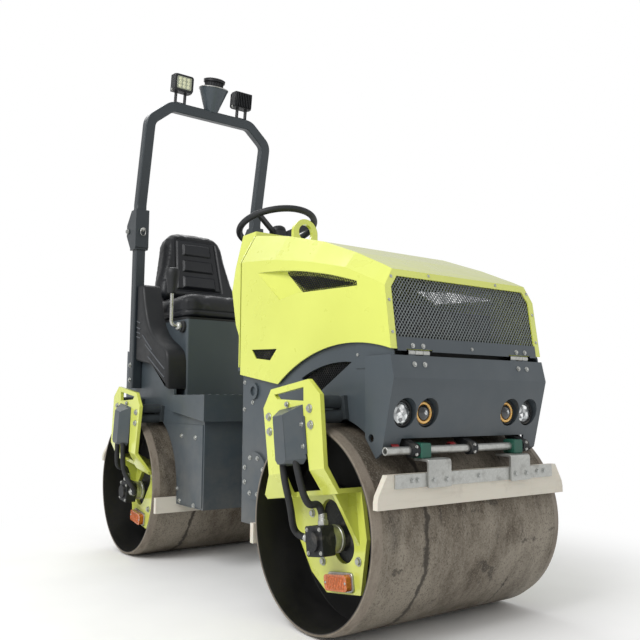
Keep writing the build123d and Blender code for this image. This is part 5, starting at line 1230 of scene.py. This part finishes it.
def makeStation(spec):
    points = []
    low, high = spec["floorX"]
    rows = int((high - low) / spec["studPitch"]) + 1
    for i in range(rows):
        for k in range(-9, 10):
            y = (k + 0.5 * (i % 2)) * spec["studPitch"]
            if abs(y) <= spec["floorHalf"]:
                points.append((low + i * spec["studPitch"], y, spec["floorTop"]))
    growOn("floorTread", studTree, spec["stud"], points, [], "grey", "rear_frame", "grey_paint",
           [(0, 0, 1)] * len(points))
    half, rise = spec["hatch"]
    back, height, sheet = spec["hatchX"], spec["hatchZ"], spec["hatchSheet"]
    hatch = slab(roundedBox(half, rise, 18), (back, 0, height), (0, -1, 0), (0, 0, 1), sheet, 2)
    makePiece("rearHatch", [hatch], "grey", "rear_frame")
    slats, reach = [], half - spec["slatShort"]
    for k in range(-3, 4):
        slats.append([(back - sheet - 1, y * reach, height + k * spec["slatPitch"]) for y in sides])
    sizes = {"Radius": 6.0, "Sides": 8}
    growOn("hatchLouvres", tubeTree, sizes, *chains(slats), "grey", "rear_frame", "grey_paint")
    inset = spec["screwInset"]
    screws = [(back - sheet, y * (half - inset), height + z * (rise - inset)) for y in sides for z in sides]
    growOn("hatchScrews", fastenerTree, smallBoltLook, screws, [], "zinc", "rear_frame", "zinc_steel",
           [(-1, 0, 0)] * len(screws))
    ribs, panels = [], []
    for side in sides:
        y = side * spec["coverY"]
        ribs += [[(x0, y, z0), (x1, y, z1)] for x0, z0, x1, z1 in spec["ribs"]]
        outline, origin = [(-side * x, z) for x, z in spec["panel"]], (0, side * machine["rearPlate"], 0)
        panels.append(slab(outline, origin, (-side, 0, 0), (0, 0, 1), 4, 1))
    # ribs in a lighter grey than the black cover: a painted highlight along each rib
    sizes = {"Radius": 2.8, "Sides": 8}
    growOn("sideCoverRibs", tubeTree, sizes, *chains(ribs), "rubbedPlastic", "rear_frame", "black_plastic")
    makePiece("rearSidePanels", panels, "grey", "rear_frame")


makeStation(stationLook)
print("operator's station fitted")

seatLook = {"voxel": 6.0, "draw": 0.972, "pressure": 4.0, "cap": 9.0, "frames": 20, "calm": 0.5,
            "calmSteps": 6, "fill": 0.75}
cushionLook = {"frontSeam": -566.0, "panelHalf": 158.0, "backSeam": -830.0, "sideSeam": 1122.0, "depth": 8.0,
               "width": 7.0, "crown": 7.0, "sideDepth": 4.0, "sideWidth": 4.0, "fullHalf": 200.0}
backLook = {"low": (-818.0, 0.0, 1195.0), "lean": 13.0, "thick": 95.0, "round": 26.0, "panelHalf": 132.0,
            "panelTop": 352.0, "panelLow": 70.0, "taper": 0.06, "padMiddles": (112.0, 202.0, 292.0),
            "padRise": 34.0, "padHalf": 98.0, "padEdge": 12.0, "depth": 9.0, "width": 7.0, "crown": 11.0,
            "outline": ((200, 2), (219, 16), (228, 44), (226, 84), (182, 300), (173, 340), (157, 374),
                        (131, 397), (97, 408), (60, 411))}


def readPoints(mesh, field="co"):
    values = np.empty(len(mesh.vertices) * 3)
    mesh.vertices.foreach_get(field, values)
    return values.reshape(-1, 3)


def padFrom(mesh, name, spec):
    work = bmesh.new()
    work.from_mesh(mesh)
    bmesh.ops.remove_doubles(work, verts=work.verts[:], dist=1e-5)
    bmesh.ops.recalc_face_normals(work, faces=work.faces[:])
    middle = sum((vert.co for vert in work.verts), Vector()) / len(work.verts)
    for vert in work.verts:
        vert.co = middle + (vert.co - middle) * spec["draw"]
    work.to_mesh(mesh)
    work.free()
    obj = bpy.data.objects.new(name, mesh)
    scene = bpy.context.scene
    scene.collection.objects.link(obj)
    even = obj.modifiers.new("even", "REMESH")
    even.mode, even.voxel_size = "VOXEL", spec["voxel"] * mm
    bakeModifiers(obj)
    start = readPoints(obj.data)
    cloth = obj.modifiers.new("swell", "CLOTH")
    cloth.settings.use_pressure = True
    cloth.settings.uniform_pressure_force = spec["pressure"]
    cloth.settings.effector_weights.gravity = 0
    for step in range(1, spec["frames"] + 1):
        scene.frame_set(step)
    bakeModifiers(obj)
    scene.frame_set(1)
    move = readPoints(obj.data) - start
    length = np.linalg.norm(move, axis=1, keepdims=True)
    move *= np.minimum(1.0, spec["cap"] * mm / np.maximum(length, 1e-9))
    obj.data.vertices.foreach_set("co", (start + move).ravel())
    calm = obj.modifiers.new("calm", "SMOOTH")
    calm.factor, calm.iterations = spec["calm"], spec["calmSteps"]
    finer = obj.modifiers.new("finer", "SUBSURF")
    finer.levels = finer.render_levels = 1
    bakeModifiers(obj)
    return obj


def finishPad(obj, node):
    obj.data.update()
    obj.data.shade_smooth()
    obj.data.materials.clear()
    obj.data.materials.append(finish["vinyl"])
    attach(obj, "rear_frame")
    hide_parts(node)


def towardSitter(normals):
    # 1 where a pad faces the sitter, falling to 0 round its sides
    return np.clip(normals * 1.6 - 0.3, 0, 1)


def makeCushion(spec):
    obj = padFrom(nodes["seat_cushion"].data.copy(), "seatCushionPad", seatLook)
    points, normals = readPoints(obj.data) / mm, readPoints(obj.data, "normal")
    x, y, z = points.T
    front, back, width = spec["frontSeam"], spec["backSeam"], spec["width"]
    inside = np.clip((spec["panelHalf"] + 4 - np.abs(y)) / 8, 0, 1)
    seam = np.minimum(np.abs(x - front), np.abs(x - back))
    rows = np.exp(-(seam / width) ** 2) * np.where(np.abs(y) < spec["fullHalf"], 1.0, 0.5)
    lines = np.exp(-((np.abs(y) - spec["panelHalf"]) / width) ** 2) * (x < front)
    crown = spec["crown"] * inside * np.clip(np.sin(np.pi * (x - back) / (front - back)), 0, 1)
    rim = np.exp(-((z - spec["sideSeam"]) / spec["sideWidth"]) ** 2) * (np.abs(normals[:, 2]) < 0.6)
    lift = towardSitter(normals[:, 2]) * (crown - spec["depth"] * np.maximum(rows, lines))
    lift -= spec["sideDepth"] * rim
    obj.data.vertices.foreach_set("co", ((points + normals * lift[:, None]) * mm).ravel())
    finishPad(obj, "seat_cushion")


def makeBackrest(spec):
    lean = math.radians(spec["lean"])
    up, out = np.array((-math.sin(lean), 0, math.cos(lean))), np.array((math.cos(lean), 0, math.sin(lean)))
    start = Vector(spec["low"]) - Vector(out) * spec["thick"]
    outline = [(-spec["outline"][0][0], spec["outline"][0][1]), *spec["outline"]]
    outline += [(-x, z) for x, z in spec["outline"][:0:-1]]
    verts, faces = slab(outline, start, (0, 1, 0), up, spec["thick"], spec["round"])
    mesh = bpy.data.meshes.new("seatBackBlank")
    mesh.from_pydata([Vector(vert) * mm for vert in verts], [], faces)
    obj = padFrom(mesh, "seatBackPad", seatLook)
    points, normals = readPoints(obj.data) / mm, readPoints(obj.data, "normal")
    rise = (points - np.array(spec["low"])) @ up
    across = np.abs(points[:, 1])
    top, low, far = spec["panelTop"], spec["panelLow"], 1e3
    edge = spec["panelHalf"] - spec["taper"] * rise  # the panel narrows upwards
    beside = np.where((rise > low) & (rise < top), np.abs(across - edge), far)
    ends = np.where(across < edge + 4, np.minimum(np.abs(rise - top), np.abs(rise - low)), far)
    groove = np.exp(-(np.minimum(beside, ends) / spec["width"]) ** 2)
    swell = np.zeros(len(points))
    for middle in spec["padMiddles"]:
        fullness = np.minimum((spec["padRise"] - np.abs(rise - middle)) / spec["padEdge"],
                              (spec["padHalf"] - spec["taper"] * rise - across) / spec["padEdge"])
        swell = np.maximum(swell, np.sin(np.clip(fullness, 0, 1) * np.pi / 2))
    lift = towardSitter(normals @ out) * (spec["crown"] * swell - spec["depth"] * groove)
    obj.data.vertices.foreach_set("co", ((points + normals * lift[:, None]) * mm).ravel())
    finishPad(obj, "seat_back")


makeCushion(cushionLook)
makeBackrest(backLook)
print("seat padded")
